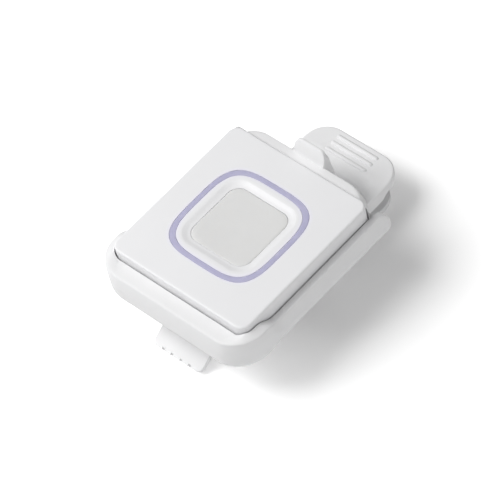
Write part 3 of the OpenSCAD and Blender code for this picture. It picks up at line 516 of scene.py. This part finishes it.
WHITE = rgb(0.80, 0.80, 0.81)
MATERIALS = {
    "face": painted_ring_glow(plastic("face_finish", WHITE, 0.42, 0.35, 0.004), rgb(0.80, 0.79, 0.87)).mat,
    "cover": plastic("cover_finish", WHITE, 0.42, 0.35, 0.004).mat,
    # The cradle's plastic is the clip's white made a little darker: painted shade for its walls that
    # face the key lamp
    "cradle": plastic("cradle_finish", rgb(0.775, 0.775, 0.78), 0.6, 0.5, 0.007).mat,
    "clip": plastic("clip_finish", rgb(0.80, 0.80, 0.805), 0.6, 0.5, 0.007).mat,
    "pad": plastic("pad_finish", rgb(0.70, 0.70, 0.695), 0.6, 0.22, 0.008, 0.97, 0.1).mat,
    "ring": lens("ring_finish", rgb(0.42, 0.41, 0.57), rgb(0.46, 0.45, 0.61)).mat,
    "guide": lens("guide_finish", rgb(0.72, 0.72, 0.80), rgb(0.78, 0.78, 0.84)).mat,
    "led": plastic("led_finish", rgb(0.80, 0.70, 0.30), 0.35, 0.2, 0.004).mat,
    "seal": plastic("seal_finish", rgb(0.09, 0.09, 0.09), 0.7, 0.2, 0.01).mat,
    "dark": plastic("dark_finish", rgb(0.03, 0.03, 0.032), 0.5, 0.25, 0.006).mat,
    "ceramic": plastic("ceramic_finish", rgb(0.74, 0.73, 0.70), 0.3, 0.3, 0.003).mat,
    "board": board_finish().mat,
    "steel": metal("steel_finish", rgb(0.62, 0.62, 0.63), 0.3, 0.8, (1, 6, 1)).mat,
    "spring": metal("spring_finish", rgb(0.58, 0.58, 0.60), 0.26, 0.4).mat,
    "gold": metal("gold_finish", rgb(0.83, 0.62, 0.28), 0.28, 0.6, (6, 1, 1)).mat,
}

# CAD nodes that stay as they are, with their finish
CAD_FINISH = {
    "rear_cover": "cover", "case_seal": "seal", "case_screws": "steel", "light_guide": "guide",
    "leds": "led", "tactile_switch": "dark", "switch_plunger": "dark", "circuit_board": "board",
    "controller_chip": "dark", "radio_module": "steel", "antenna": "ceramic", "coin_cell": "steel",
    "battery_contact_negative": "gold", "battery_contact_positive": "gold", "clip_pin": "steel",
    "clip_screws": "steel",
}


def dress_nodes():
    for name, finish in CAD_FINISH.items():
        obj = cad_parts[name]
        if not obj.material_slots:
            obj.data.materials.append(None)
        for slot in obj.material_slots:
            slot.material = MATERIALS[finish]


def done(obj, body, slot, finish, *nodes):
    obj.data.materials.clear()
    obj.data.materials.append(MATERIALS[finish])
    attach(obj, body)
    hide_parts(*nodes)


# Pendant

def screw_post(x, y):
    tube = [(POST_R, -FACE_T), (POST_R, PART_Z), (POST_BORE_R, PART_Z), (POST_BORE_R, -FACE_T)]
    return loft([[(x + radius * unit(a)[0], y + radius * unit(a)[1], z) for a in range(0, 360, 12)]
                 for radius, z in tube], around=True)


def front_cover():
    # From the ring's hole over the face and the outside to the inside
    edge, part_in, part_up = 0.06, 0.1, 0.12
    hole = power_ray(RING_OUTER + RING_FIT)
    hole_edge = power_ray(RING_OUTER + RING_FIT + edge)
    rings = [polar(BODY, hole, -FACE_T), polar(BODY, hole, -edge * 1.5), polar(BODY, hole_edge, 0)]
    flat = round_ray(HALF_W - EDGE_R, HALF_L - EDGE_R, CORNER_R - EDGE_R)
    rings += [polar(BODY, between(hole_edge, flat, t), 0) for t in (0.05, 0.5, 0.95)]
    for a in spread(0, 90, 8):
        c, s = unit(a)
        grow = EDGE_R * (1 - s)
        rings.append(polar(BODY, round_ray(HALF_W - grow, HALF_L - grow, CORNER_R - grow),
                           -EDGE_R * (1 - c)))
    rings.append(polar(BODY, round_ray(HALF_W, HALF_L, CORNER_R), PART_Z + part_up))
    rings.append(polar(BODY, round_ray(HALF_W - part_in, HALF_L - part_in, CORNER_R - part_in), PART_Z))
    inner = round_ray(HALF_W - WALL, HALF_L - WALL, CORNER_R - WALL)
    rings.append(polar(BODY, inner, PART_Z))
    rings.append(polar(BODY, inner, -FACE_T))
    shell = loft(rings, around=True)
    posts = [screw_post(x, y) for x in (-POST_X, POST_X) for y in (-POST_Y, POST_Y)]
    obj = solid("cover_front", *joined(shell, *posts))
    done(obj, "pendant", "white_plastic", "face", "front_cover")


def light_ring():
    crown = 0.02
    low, high = RING_INNER + RING_EDGE, RING_OUTER - RING_EDGE
    marks = [(RING_INNER, -FACE_T), (RING_INNER, RING_SINK - RING_EDGE), (low, RING_SINK)]
    marks += [(lerp(low, high, t), RING_SINK + crown) for t in (0.25, 0.5, 0.75)]
    marks += [(high, RING_SINK), (RING_OUTER, RING_SINK - RING_EDGE), (RING_OUTER, -FACE_T)]
    rings = [polar(SQUARE, power_ray(half), z) for half, z in marks]
    obj = solid("ring_lens", *loft(rings, around=True))
    done(obj, "pendant", "ring_lens", "ring", "light_ring")


def button_frame():
    edge, lip, lip_in, lip_down, low_soft = 0.08, 0.1, 0.02, 0.03, 0.04
    rim = power_ray(RING_INNER - RING_FIT)
    top = round_ray(RECESS_TOP, RECESS_TOP, RECESS_TOP_R)
    low = round_ray(RECESS_LOW, RECESS_LOW, RECESS_LOW_R)
    rings = [polar(SQUARE, rim, -FACE_T), polar(SQUARE, rim, -edge),
             polar(SQUARE, power_ray(RING_INNER - RING_FIT - edge), 0),
             polar(SQUARE, between(rim, top, 0.5), 0),
             polar(SQUARE, round_ray(RECESS_TOP + lip, RECESS_TOP + lip, RECESS_TOP_R + lip), 0),
             polar(SQUARE, round_ray(RECESS_TOP + lip_in, RECESS_TOP + lip_in, RECESS_TOP_R), -lip_down)]
    for t in (0.12, 0.35, 0.6, 0.82, 0.95):
        rings.append(polar(SQUARE, between(top, low, t), RECESS_Z * unit(90 * t)[1]))
    rings += [polar(SQUARE, low, RECESS_Z - low_soft), polar(SQUARE, low, -FACE_T)]
    obj = solid("button_surround", *loft(rings, around=True), sharp=40)
    done(obj, "pendant", "white_plastic", "face", "button_frame")


def button_cap():
    # A shallow dish with a soft edge, over a flange and a post. The corner radius of a ring inside
    # the dish is at least the share least_corner of the ring's half width.
    dish_reach, least_corner = CAP_HALF + 0.5, 0.345

    def dish(x, y):
        return CAP_TOP + CAP_DISH * ((x * x + y * y) / dish_reach ** 2 - 1)

    def square(half, r):
        return [(x, y) for x, y, _ in polar(SQUARE, round_ray(half, half, r), 0)]

    rings = []
    for t in spread(0.04, 0.98, 14):
        half = CAP_HALF * t
        rings.append([(x, y, dish(x, y)) for x, y in square(half, max(CAP_R * t, half * least_corner))])
    rings[-1] = [(x, y, min(z, CAP_TOP)) for x, y, z in rings[-1]]
    for a in (30, 60, 90):
        c, s = unit(a)
        rings.append([(x, y, min(CAP_TOP, dish(x, y)) - CAP_EDGE * (1 - c))
                      for x, y in square(CAP_HALF - CAP_EDGE * (1 - s), CAP_R)])
    flange = round_ray(CAP_FLANGE, CAP_FLANGE, CAP_FLANGE_R)
    post = round_ray(CAP_POST_R, CAP_POST_R, CAP_POST_R)
    rings += [polar(SQUARE, round_ray(CAP_HALF, CAP_HALF, CAP_R), FLANGE_TOP),
              polar(SQUARE, flange, FLANGE_TOP), polar(SQUARE, flange, FLANGE_LOW),
              polar(SQUARE, post, FLANGE_LOW), polar(SQUARE, post, CAP_POST_Z)]
    obj = solid("button_pad", *loft(rings), sharp=50)
    done(obj, "button", "soft_pad", "pad", "button_cap")


# Cradle

def blended(a, b, t):
    return {key: lerp(a[key], b[key], t) for key in a}


def tray_section(inner, outer, form, high, low, squeeze):
    # From the underside over the wall to the pocket's floor. inner and outer are the wall's faces
    # in plan, high and low cut the section off, and squeeze thins it about its middle.
    edge_turn, rim_before, rim_after, inner_edge, floor_step = 0.3, 0.1, 0.16, 0.15, 0.5
    dx, dy = outer[0] - inner[0], outer[1] - inner[1]
    w = math.hypot(dx, dy)
    belly, belly_z, edge = form["belly"], form["belly_z"], (w, form["edge_z"])
    rim, top = (w * form["rim"], form["rim_z"]), (0.0, form["top"])
    scale = (belly_z - TRAY_LOW) / belly

    def along(a, b, t):
        return lerp(a[0], b[0], t), lerp(a[1], b[1], t)

    path = []
    for a in spread(-90, 0, 12):
        c, s = unit(a)
        path.append((w - belly * (1 - c), belly_z + belly * scale * s))
    # A soft turn from the outer face into the slope under the rim
    path += [along(edge, rim, edge_turn * t * t) for t in spread(0, 1, 5)]
    path += [along(edge, rim, t) for t in (0.5, 0.75)]
    # A soft rim
    path += [along(along(rim, edge, rim_before * (1 - t)), along(rim, top, rim_after * t), t)
             for t in spread(0, 1, 4)]
    path += [along(rim, top, t) for t in (0.4, 0.7)]
    slope = (rim[1] - top[1]) / rim[0]
    for a in spread(0, 90, 5):
        c, s = unit(a)
        path.append((inner_edge * (1 - s), top[1] + slope * inner_edge * (1 - s) - inner_edge * (1 - c)))
    path += [(0.0, TRAY_FLOOR + floor_step), (0.0, TRAY_FLOOR)]
    ring = []
    for a, z in path:
        share = 0.5 + (a / w - 0.5) * squeeze
        ring.append((inner[0] + dx * share, inner[1] + dy * share, min(max(z, low), high)))
    return ring


def corner_share(y):
    return ease((TURN_START - y) / TURN_RUN)


def rail_stations():
    # From the rail's free end, with its round nose, heel and tip, to the near corner
    tip_squeeze = 0.45
    pocket_y = POCKET_R - NEAR_IN
    ahead = CRADLE_R - NEAR_OUT - pocket_y
    ends = [RAIL_END - RAIL_NOSE_R * (1 - unit(a)[1]) for a in (90, 80, 70, 60, 50, 38, 26, 13, 0)]
    stations = []
    for y in ends + [18, 14, 10, 6, 2, -2, -6, -9, -11, -12.5] + spread(-13, pocket_y, 9):
        t = corner_share(y)
        nose, heel, tip = (max(y - (RAIL_END - r), 0) for r in (RAIL_NOSE_R, RAIL_HEEL_R, RAIL_PLAN_R))
        high = RAIL["top"] - RAIL_NOSE_R + arc(RAIL_NOSE_R, nose) if nose else FREE_HIGH
        low = TRAY_LOW + RAIL_HEEL_R - arc(RAIL_HEEL_R, heel) if heel else FREE_LOW
        squeeze = lerp(tip_squeeze, 1, arc(1, tip / RAIL_PLAN_R)) if tip else 1
        form = blended(RAIL, TURN, TURN_SHARE * t)
        form["top"] = lerp(RAIL["top"], TURN["top"], t)
        outer_y = y + ahead * ease((SKEW_START - y) / SKEW_RUN)
        stations.append(((RAIL_IN, y), (RAIL_OUT, outer_y), form, high, low, squeeze))
    return stations


def near_stations():
    # Round the near corner, and on to the middle of the near wall
    steps = 14
    start = blended(RAIL, TURN, TURN_SHARE * corner_share(POCKET_R - NEAR_IN))
    stations = []
    for i in range(1, steps + 1):
        t = i / steps
        c, s = unit(-90 * i / steps)
        inner = (RAIL_IN + POCKET_R * (c - 1), POCKET_R * (s + 1) - NEAR_IN)
        outer = (RAIL_OUT + CRADLE_R * (c - 1), CRADLE_R * (s + 1) - NEAR_OUT)
        form = blended(start, TURN, ease(2 * t)) if t < 0.5 else blended(TURN, NEAR, ease(2 * t - 1))
        form["top"] = lerp(TURN["top"], NEAR["top"], max(2 * t - 1, 0))
        stations.append((inner, outer, form, FREE_HIGH, FREE_LOW, 1))
    for t in spread(1, 0, 8)[1:]:
        inner = ((RAIL_IN - POCKET_R) * t, -NEAR_IN)
        outer = ((RAIL_OUT - CRADLE_R) * t, -NEAR_OUT)
        stations.append((inner, outer, NEAR, FREE_HIGH, FREE_LOW, 1))
    return stations


def cradle_tray():
    sharp, above, below = 38, -8, -14
    rings = []
    for station in rail_stations() + near_stations():
        right = tray_section(*station)
        rings.append(right + [(-x, y, z) for x, y, z in reversed(right)])
    obj = solid("cradle_shell", *loft(rings), sharp=sharp)
    bores = []
    for spot in TRAY_SCREWS:
        bores.append(rod("z", HEAD_BORE_R, HEAD_BORE_LOW, above, spot, 32))
        bores.append(rod("z", SCREW_BORE_R, below, HEAD_BORE_LOW + BORE_LAP, spot, 32))
    for bore in bores:
        cut(obj, solid("bore", *bore), sharp)
    groove = rod("x", GROOVE_R, -GROOVE_HALF, GROOVE_HALF, (LATCH_MID, TRAY_FLOOR), 24)
    cut(obj, solid("groove", *groove), sharp)
    done(obj, "cradle", "cradle_plastic", "cradle", "cradle_tray")


def latch_level(z, inset=0.0):
    # The blade's plan, round at the outer ends, and shorter where its top corners curve down
    lost = LATCH_TOP_R - arc(LATCH_TOP_R, max(z - (LATCH_TOP - LATCH_TOP_R), 0))
    first = math.degrees(math.asin(1 - LATCH_T / LATCH_END_R))
    right = []
    for a in spread(first, 90, 10):
        c, s = unit(a)
        right.append((LATCH_HALF - LATCH_END_R - lost + (LATCH_END_R - inset) * c,
                      max(LATCH_OUT - LATCH_END_R + (LATCH_END_R - inset) * s,
                          LATCH_OUT - LATCH_T + inset), z))
    run = [(x, right[-1][1], z) for x in spread(right[-1][0], -right[-1][0], 12)[1:-1]]
    back = [(x, right[0][1], z) for x in spread(-right[0][0], right[0][0], 12)[1:-1]]
    return right + run + [(-x, y, z) for x, y, z in reversed(right)] + back


def latch_blade():
    rings = [latch_level(LATCH_LOW, LATCH_FOOT_IN), latch_level(LATCH_FOOT)]
    rings += [latch_level(LATCH_TOP + LATCH_TOP_R * (unit(a)[1] - 1)) for a in spread(0, 70, 10)]
    for a in spread(0, 90, 5):
        c, s = unit(a)
        rings.append(latch_level(LATCH_TOP - LATCH_EDGE * (1 - s), LATCH_EDGE * (1 - c)))
    half = LATCH_HALF - LATCH_END_R
    bead = rod("x", BEAD_R, -half, half, (LATCH_MID, TRAY_FLOOR), 24, BEAD_EDGE)
    return solid("latch_blade", *joined(loft(rings), bead), sharp=40)


def latch_tab():
    # The tab leans back, and its top corners are round, so a point that comes down moves along it
    lean_from, flat_half = 1.5, 1.2
    marks = [TAB_HALF - TAB_CORNER_R * (1 - unit(a)[1]) for a in (0, 15, 30, 45, 60, 75, 90)]

    def lean(z):
        return TAB_LEAN * (z - LATCH_TOP)

    rings = []
    for x in [-m for m in reversed(marks)] + [-flat_half, flat_half] + marks:
        high = TAB_TOP - TAB_CORNER_R + arc(TAB_CORNER_R, max(abs(x) - TAB_HALF + TAB_CORNER_R, 0))
        rings.append([(x, y - lean(z) + lean(min(z, high)) if z > lean_from else y, min(z, high))
                      for y, z in TAB_SIDE])
    return solid("latch_tab", *loft(rings), sharp=35, bevel=TAB_EDGE)


def latch_wall():
    blade, tab = latch_blade(), latch_tab()
    for piece in (tab, blade):
        done(piece, "latch", "cradle_plastic", "cradle", "latch_wall")


# Clip

def hollow(x, y):
    # How deep the thumb's hollow is at a point of the pad
    sag = HOLLOW_DEPTH - (HOLLOW_R - arc(HOLLOW_R, min(abs(y - HOLLOW_Y), HOLLOW_R)))
    return max(sag, 0) * (1 - ease((abs(x) - HOLLOW_HALF) / HOLLOW_FADE))


def arm_pad():
    length = PAD_REACH - PAD_START
    size = dict(w=2 * PAD_HALF, l=length, radii=(THUMB_R, THUMB_R, ARM_HIDDEN_R, ARM_HIDDEN_R),
                centre=(0, PAD_START + length / 2), steps=12, side=24)

    def skirt(y):
        return (FLANGE_H * ease((y - SKIRT_START) / SKIRT_START_RUN)
                * (1 - ease((y - SKIRT_END) / SKIRT_END_RUN)))

    rings = [[(x, y, PAD_LOW) for x, y in outline(inset=FLANGE_T + 0.1, **size)]]
    for inset, lift in ((FLANGE_T, 0.12), (FLANGE_T - 0.2, 0), (0.25, 0), (0, 0.25)):
        rings.append([(x, y, PAD_LOW - skirt(y) + lift) for x, y in outline(inset=inset, **size)])
    for a in spread(0, 90, 7):
        c, s = unit(a)
        rings.append([(x, y, PAD_TOP - hollow(x, y) * s - PAD_EDGE * (1 - s))
                      for x, y in outline(inset=PAD_EDGE * (1 - c), **size)])
    # Rings inward over the top, close enough together for the hollow
    for inset in (0.9, 1.4, 2.0, 2.8, 3.6, 4.4, 5.4, 6.6, 8.0, 9.6, 11.0, 12.0):
        rings.append([(x, y, PAD_TOP - hollow(x, y)) for x, y in outline(inset=inset, **size)])
    return loft(rings)


def ear(x0, x1, eye_r, reach):
    # A plate from x0 to x1 round the pin's hole
    rings = []
    for radius, x in ((eye_r, x0), (None, x0), (None, x1), (eye_r, x1)):
        rings.append([(x, PIVOT_Y + (radius or reach(a)) * unit(a)[0],
                       PIVOT_Z + (radius or reach(a)) * unit(a)[1]) for a in range(0, 360, 6)])
    return loft(rings, around=True)


def arm_ear_reach(angle):
    # The hull of the round eye and the plate above it, whose +Y side leans outward
    lean, least = 0.35, 0.05
    c, s = unit(angle)
    if s <= least:
        return ARM_EAR_R
    top = (PAD_LOW + ARM_EAR_LAP - PIVOT_Z) / s
    right = ARM_EAR_R / max(c - lean * s, least) if c > 0 else 1e9
    left = ARM_EAR_R / -c if c < -1e-6 else 1e9
    return max(min(top, right, left), ARM_EAR_R)


def lever_ear_reach(angle):
    # The hull of the round eye and the plate below it, whose sides lean outward
    lean, least = 0.33, 0.05
    c, s = unit(angle)
    if s >= -least:
        return LEVER_EAR_R
    down = LEVER_EAR_DOWN / -s
    side = LEVER_EAR_R / max(abs(c) + lean * s, least)
    return max(min(down, side), LEVER_EAR_R)


def clip_arm():
    neck_size = dict(w=NECK_W, l=NECK_L, radii=(ARM_HIDDEN_R, ARM_HIDDEN_R, NECK_R, NECK_R),
                     centre=(0, NECK_Y))
    neck = loft([[(x, y, z) for x, y in outline(inset=i, **neck_size)]
                 for i, z in ((NECK_EDGE, PAD_LOW), (0, PAD_LOW + NECK_EDGE),
                              (0, PAD_TOP - NECK_EDGE), (NECK_EDGE, PAD_TOP))])
    ribs = [capsule(-RIB_HALF, RIB_HALF, PAD_REACH - RIB_IN - RIB_PITCH * i,
                    PAD_TOP + RIB_HEIGHT - RIB_R, RIB_R) for i in range(RIBS)]
    # The ears stand a little inside the flange's faces
    inner, outer = PAD_HALF - FLANGE_T + ARM_EAR_CLEAR, PAD_HALF - ARM_EAR_CLEAR
    ears = [ear(-outer, -inner, ARM_EYE_R, arm_ear_reach), ear(inner, outer, ARM_EYE_R, arm_ear_reach)]
    arm = solid("clip_arm", *joined(arm_pad(), neck, *ribs), sharp=40)
    eyes = solid("clip_arm_ears", *joined(*ears), sharp=40)
    for piece in (arm, eyes):
        done(piece, "cradle", "clip_plastic", "clip", "clip_upper_arm")


def lever_top(y):
    # Flat at the thumb end, up to the jaw, and down again to the lip
    flat = LEVER_LOW + LEVER_T
    if y >= RISE_Y:
        return flat
    if y >= JAW_Y:
        return lerp(flat, JAW_Z, (1 - math.cos(math.pi * (RISE_Y - y) / (RISE_Y - JAW_Y))) / 2)
    return lerp(JAW_Z, flat, ((JAW_Y - y) / (JAW_Y - LIP_Y)) ** LIP_CURVE)


def lever_half(y):
    past = y - (LEVER_REACH - THUMB_R)
    if past > 0:
        return LEVER_HALF - THUMB_R + arc(THUMB_R, past)
    past = LIP_Y + LIP_R - y
    if past > 0:
        return JAW_HALF - LIP_R + arc(LIP_R, past)
    return lerp(JAW_HALF, LEVER_HALF, ease((y - NARROW_Y) / NARROW_RUN))


def lever_ring(y, last):
    # A section of the strip, square to its top. No point goes below the strip's flat underside,
    # and the last section doesn't reach past the lip.
    probe, level_rise = 0.01, 0.3
    slope = (lever_top(y + probe) - lever_top(y - probe)) / (2 * probe)
    norm = math.hypot(1, slope)
    top, half, e = lever_top(y), lever_half(y), LEVER_EDGE
    ring = []
    for x, depth in ((-half + e, 0), (half - e, 0), (half - e * 0.3, e * 0.3), (half, e),
                     (half, LEVER_T - e), (half - e, LEVER_T), (-half + e, LEVER_T),
                     (-half, LEVER_T - e), (-half, e), (-half + e * 0.3, e * 0.3)):
        t = depth / LEVER_T
        at = y + LEVER_T * slope / norm * t
        z = max(top - LEVER_T / norm * t, LEVER_LOW + (0 if t == 1 else (1 - t) * level_rise))
        ring.append((x, max(at, LIP_Y) if last else at, z))
    return ring


def lever_strip():
    marks = [LEVER_REACH - THUMB_R * (1 - unit(a)[1]) for a in spread(90, 0, 9)]
    marks += [24, 16, 10, 7.5, 6.5] + spread(RISE_Y, JAW_Y, 22) + spread(JAW_Y, LIP_Y + LIP_R, 12)[1:]
    marks += [LIP_Y + LIP_R * (1 - unit(a)[1]) for a in (15, 30, 45, 60, 75, 90)]
    marks = sorted(set(round(m, 4) for m in marks), reverse=True)
    return loft([lever_ring(y, y == marks[-1]) for y in marks])


def clip_lever():
    past_lip, notch_low, notch_high = 1, -23, -17
    strip = solid("clip_strip", *lever_strip(), sharp=35)
    for i in range(NOTCHES):
        x = (i - (NOTCHES - 1) / 2) * NOTCH_PITCH
        left, right, out, into = x - NOTCH_HALF, x + NOTCH_HALF, LIP_Y - past_lip, LIP_Y + NOTCH_DEPTH
        notch = loft([[(left, out, z), (right, out, z), (right, into, z), (left, into, z)]
                      for z in (notch_low, notch_high)])
        cut(strip, solid("notch", *notch), 35)
    ears = [ear(x - LEVER_EAR_HALF_T, x + LEVER_EAR_HALF_T, LEVER_EYE_R, lever_ear_reach)
            for x in (-LEVER_EAR_X, LEVER_EAR_X)]
    eyes = solid("clip_strip_ears", *joined(*ears), sharp=40)
    for piece in (eyes, strip):
        done(piece, "lever", "clip_plastic", "clip", "clip_lever")


def clip_spring():
    # The coil and one leg stay with the arm, and the other leg rides with the lever
    per_turn, first = 24, 90
    side_x, leg_y = COIL_PITCH * COIL_TURNS / 2, PIVOT_Y + LEG_LENGTH
    arm_z, lever_z = PAD_LOW - LEG_OFF, LEVER_LOW + LEVER_T + LEG_OFF
    coil = []
    for i in range(int(COIL_TURNS * per_turn) + 1):
        c, s = unit(first + 360 / per_turn * i)
        coil.append((COIL_PITCH * i / per_turn - side_x, PIVOT_Y + COIL_R * c, PIVOT_Z + COIL_R * s))
    leg = [(-side_x, leg_y, arm_z), (-side_x, leg_y - LEG_TIP, arm_z)]
    tail = [coil[-1], (side_x, leg_y - LEG_TIP, lever_z), (side_x, leg_y, lever_z)]
    body = solid("spring_coil", *wire(leg + coil, WIRE_R), sharp=60)
    tail = solid("spring_tail", *wire(tail, WIRE_R), sharp=60)
    done(tail, "lever", "spring_steel", "spring", "clip_spring")
    done(body, "cradle", "spring_steel", "spring", "clip_spring")


# Stage

def seen_rays(tree):
    # 1 for a ray from the camera, a reflection or a clear part, and 0 for the light on the object
    rays = tree.nodes.new("ShaderNodeLightPath")
    seen = rays.outputs["Is Camera Ray"]
    for kind in ("Is Glossy Ray", "Is Transmission Ray"):
        either = tree.nodes.new("ShaderNodeMath")
        either.operation = "MAXIMUM"
        tree.links.new(seen, either.inputs[0])
        tree.links.new(rays.outputs[kind], either.inputs[1])
        seen = either.outputs[0]
    return seen


def floor():
    half = 3
    mesh = bpy.data.meshes.new("floor")
    mesh.from_pydata([(-half, -half, 0), (half, -half, 0), (half, half, 0), (-half, half, 0)], [],
                     [(0, 1, 2, 3)])
    obj = bpy.data.objects.new("floor", mesh)
    bpy.context.scene.collection.objects.link(obj)
    s = Shader("floor_finish")
    s.put(s.bsdf.inputs["Base Color"],
          s.mix(s.range(s.noise(40, 3), 0, 1), rgb(0.87, 0.87, 0.87), rgb(0.875, 0.875, 0.875)))
    s.bsdf.inputs["Roughness"].default_value = 0.9
    s.bsdf.inputs["Specular IOR Level"].default_value = 0.0
    lift = s.new("ShaderNodeEmission")
    lift.inputs["Color"].default_value = rgb(1, 1, 1)
    # Painted shade: the glow grows with the distance from SHADE_MIDDLE, so the shadow fades outward
    side = s.math("POWER", s.math("SUBTRACT", s.axis("X"), SHADE_MIDDLE[0] * MM), 2)
    ahead = s.math("POWER", s.math("SUBTRACT", s.axis("Y"), SHADE_MIDDLE[1] * MM), 2)
    away = s.math("SQRT", s.math("ADD", side, ahead))
    pale = s.range(away, FLOOR_LOW, FLOOR_HIGH, SHADE_START * MM, SHADE_END * MM)
    s.put(lift.inputs["Strength"], s.math("MULTIPLY", seen_rays(s.tree), pale))
    total = s.new("ShaderNodeAddShader")
    s.link(s.bsdf.outputs[0], total.inputs[0])
    s.link(lift.outputs[0], total.inputs[1])
    out = [n for n in s.tree.nodes if n.type == "OUTPUT_MATERIAL"][0]
    s.link(total.outputs[0], out.inputs["Surface"])
    obj.data.materials.append(s.mat)


def room():
    # A soft light that gets darker on the latch's side, seen as white
    world = bpy.data.worlds.new("studio")
    bpy.context.scene.world = world
    world.use_nodes = True
    tree = world.node_tree
    back = tree.nodes["Background"]
    back.inputs["Color"].default_value = rgb(1, 1, 1)
    coord = tree.nodes.new("ShaderNodeTexCoord")
    split = tree.nodes.new("ShaderNodeSeparateXYZ")
    tree.links.new(coord.outputs["Generated"], split.inputs[0])
    slope = tree.nodes.new("ShaderNodeMath")
    slope.operation = "MULTIPLY_ADD"
    tree.links.new(split.outputs["Y"], slope.inputs[0])
    slope.inputs[1].default_value = -WORLD_SLOPE
    slope.inputs[2].default_value = WORLD
    tree.links.new(slope.outputs[0], back.inputs["Strength"])
    white = tree.nodes.new("ShaderNodeBackground")
    white.inputs["Color"].default_value = rgb(1, 1, 1)
    white.inputs["Strength"].default_value = 1.0
    pick = tree.nodes.new("ShaderNodeMixShader")
    tree.links.new(seen_rays(tree), pick.inputs[0])
    tree.links.new(back.outputs[0], pick.inputs[1])
    tree.links.new(white.outputs[0], pick.inputs[2])
    tree.links.new(pick.outputs[0], tree.nodes["World Output"].inputs["Surface"])


def lamps():
    aim = place(0, 0, -8)
    for name, (way, power, size) in LAMPS.items():
        lamp = bpy.data.lights.new(name, "AREA")
        lamp.shape = "SQUARE"
        lamp.size, lamp.energy = size, power
        holder = bpy.data.objects.new(name, lamp)
        bpy.context.scene.collection.objects.link(holder)
        holder.location = aim + Vector(way).normalized() * LAMP_AWAY
        holder.rotation_euler = (aim - holder.location).to_track_quat("-Z", "Y").to_euler()


def camera():
    data = bpy.data.cameras.new("camera")
    data.sensor_width = 36.0
    data.lens = CAMERA_LENS
    data.clip_start, data.clip_end = 0.05, 20.0
    cam = bpy.data.objects.new("camera", data)
    bpy.context.scene.collection.objects.link(cam)
    back, right = Vector(CAMERA_BACK).normalized(), Vector(CAMERA_RIGHT)
    right = (right - back * right.dot(back)).normalized()
    up = back.cross(right)
    turn = Matrix((right, up, back)).transposed().to_4x4()
    cam.matrix_world = Matrix.Translation(place(*CAMERA_AT)) @ turn
    bpy.context.scene.camera = cam


camera()
dress_nodes()
front_cover()
light_ring()
button_frame()
button_cap()
cradle_tray()
latch_wall()
clip_arm()
clip_lever()
clip_spring()
floor()
room()
lamps()

scene = bpy.context.scene
scene.view_settings.view_transform = "Standard"
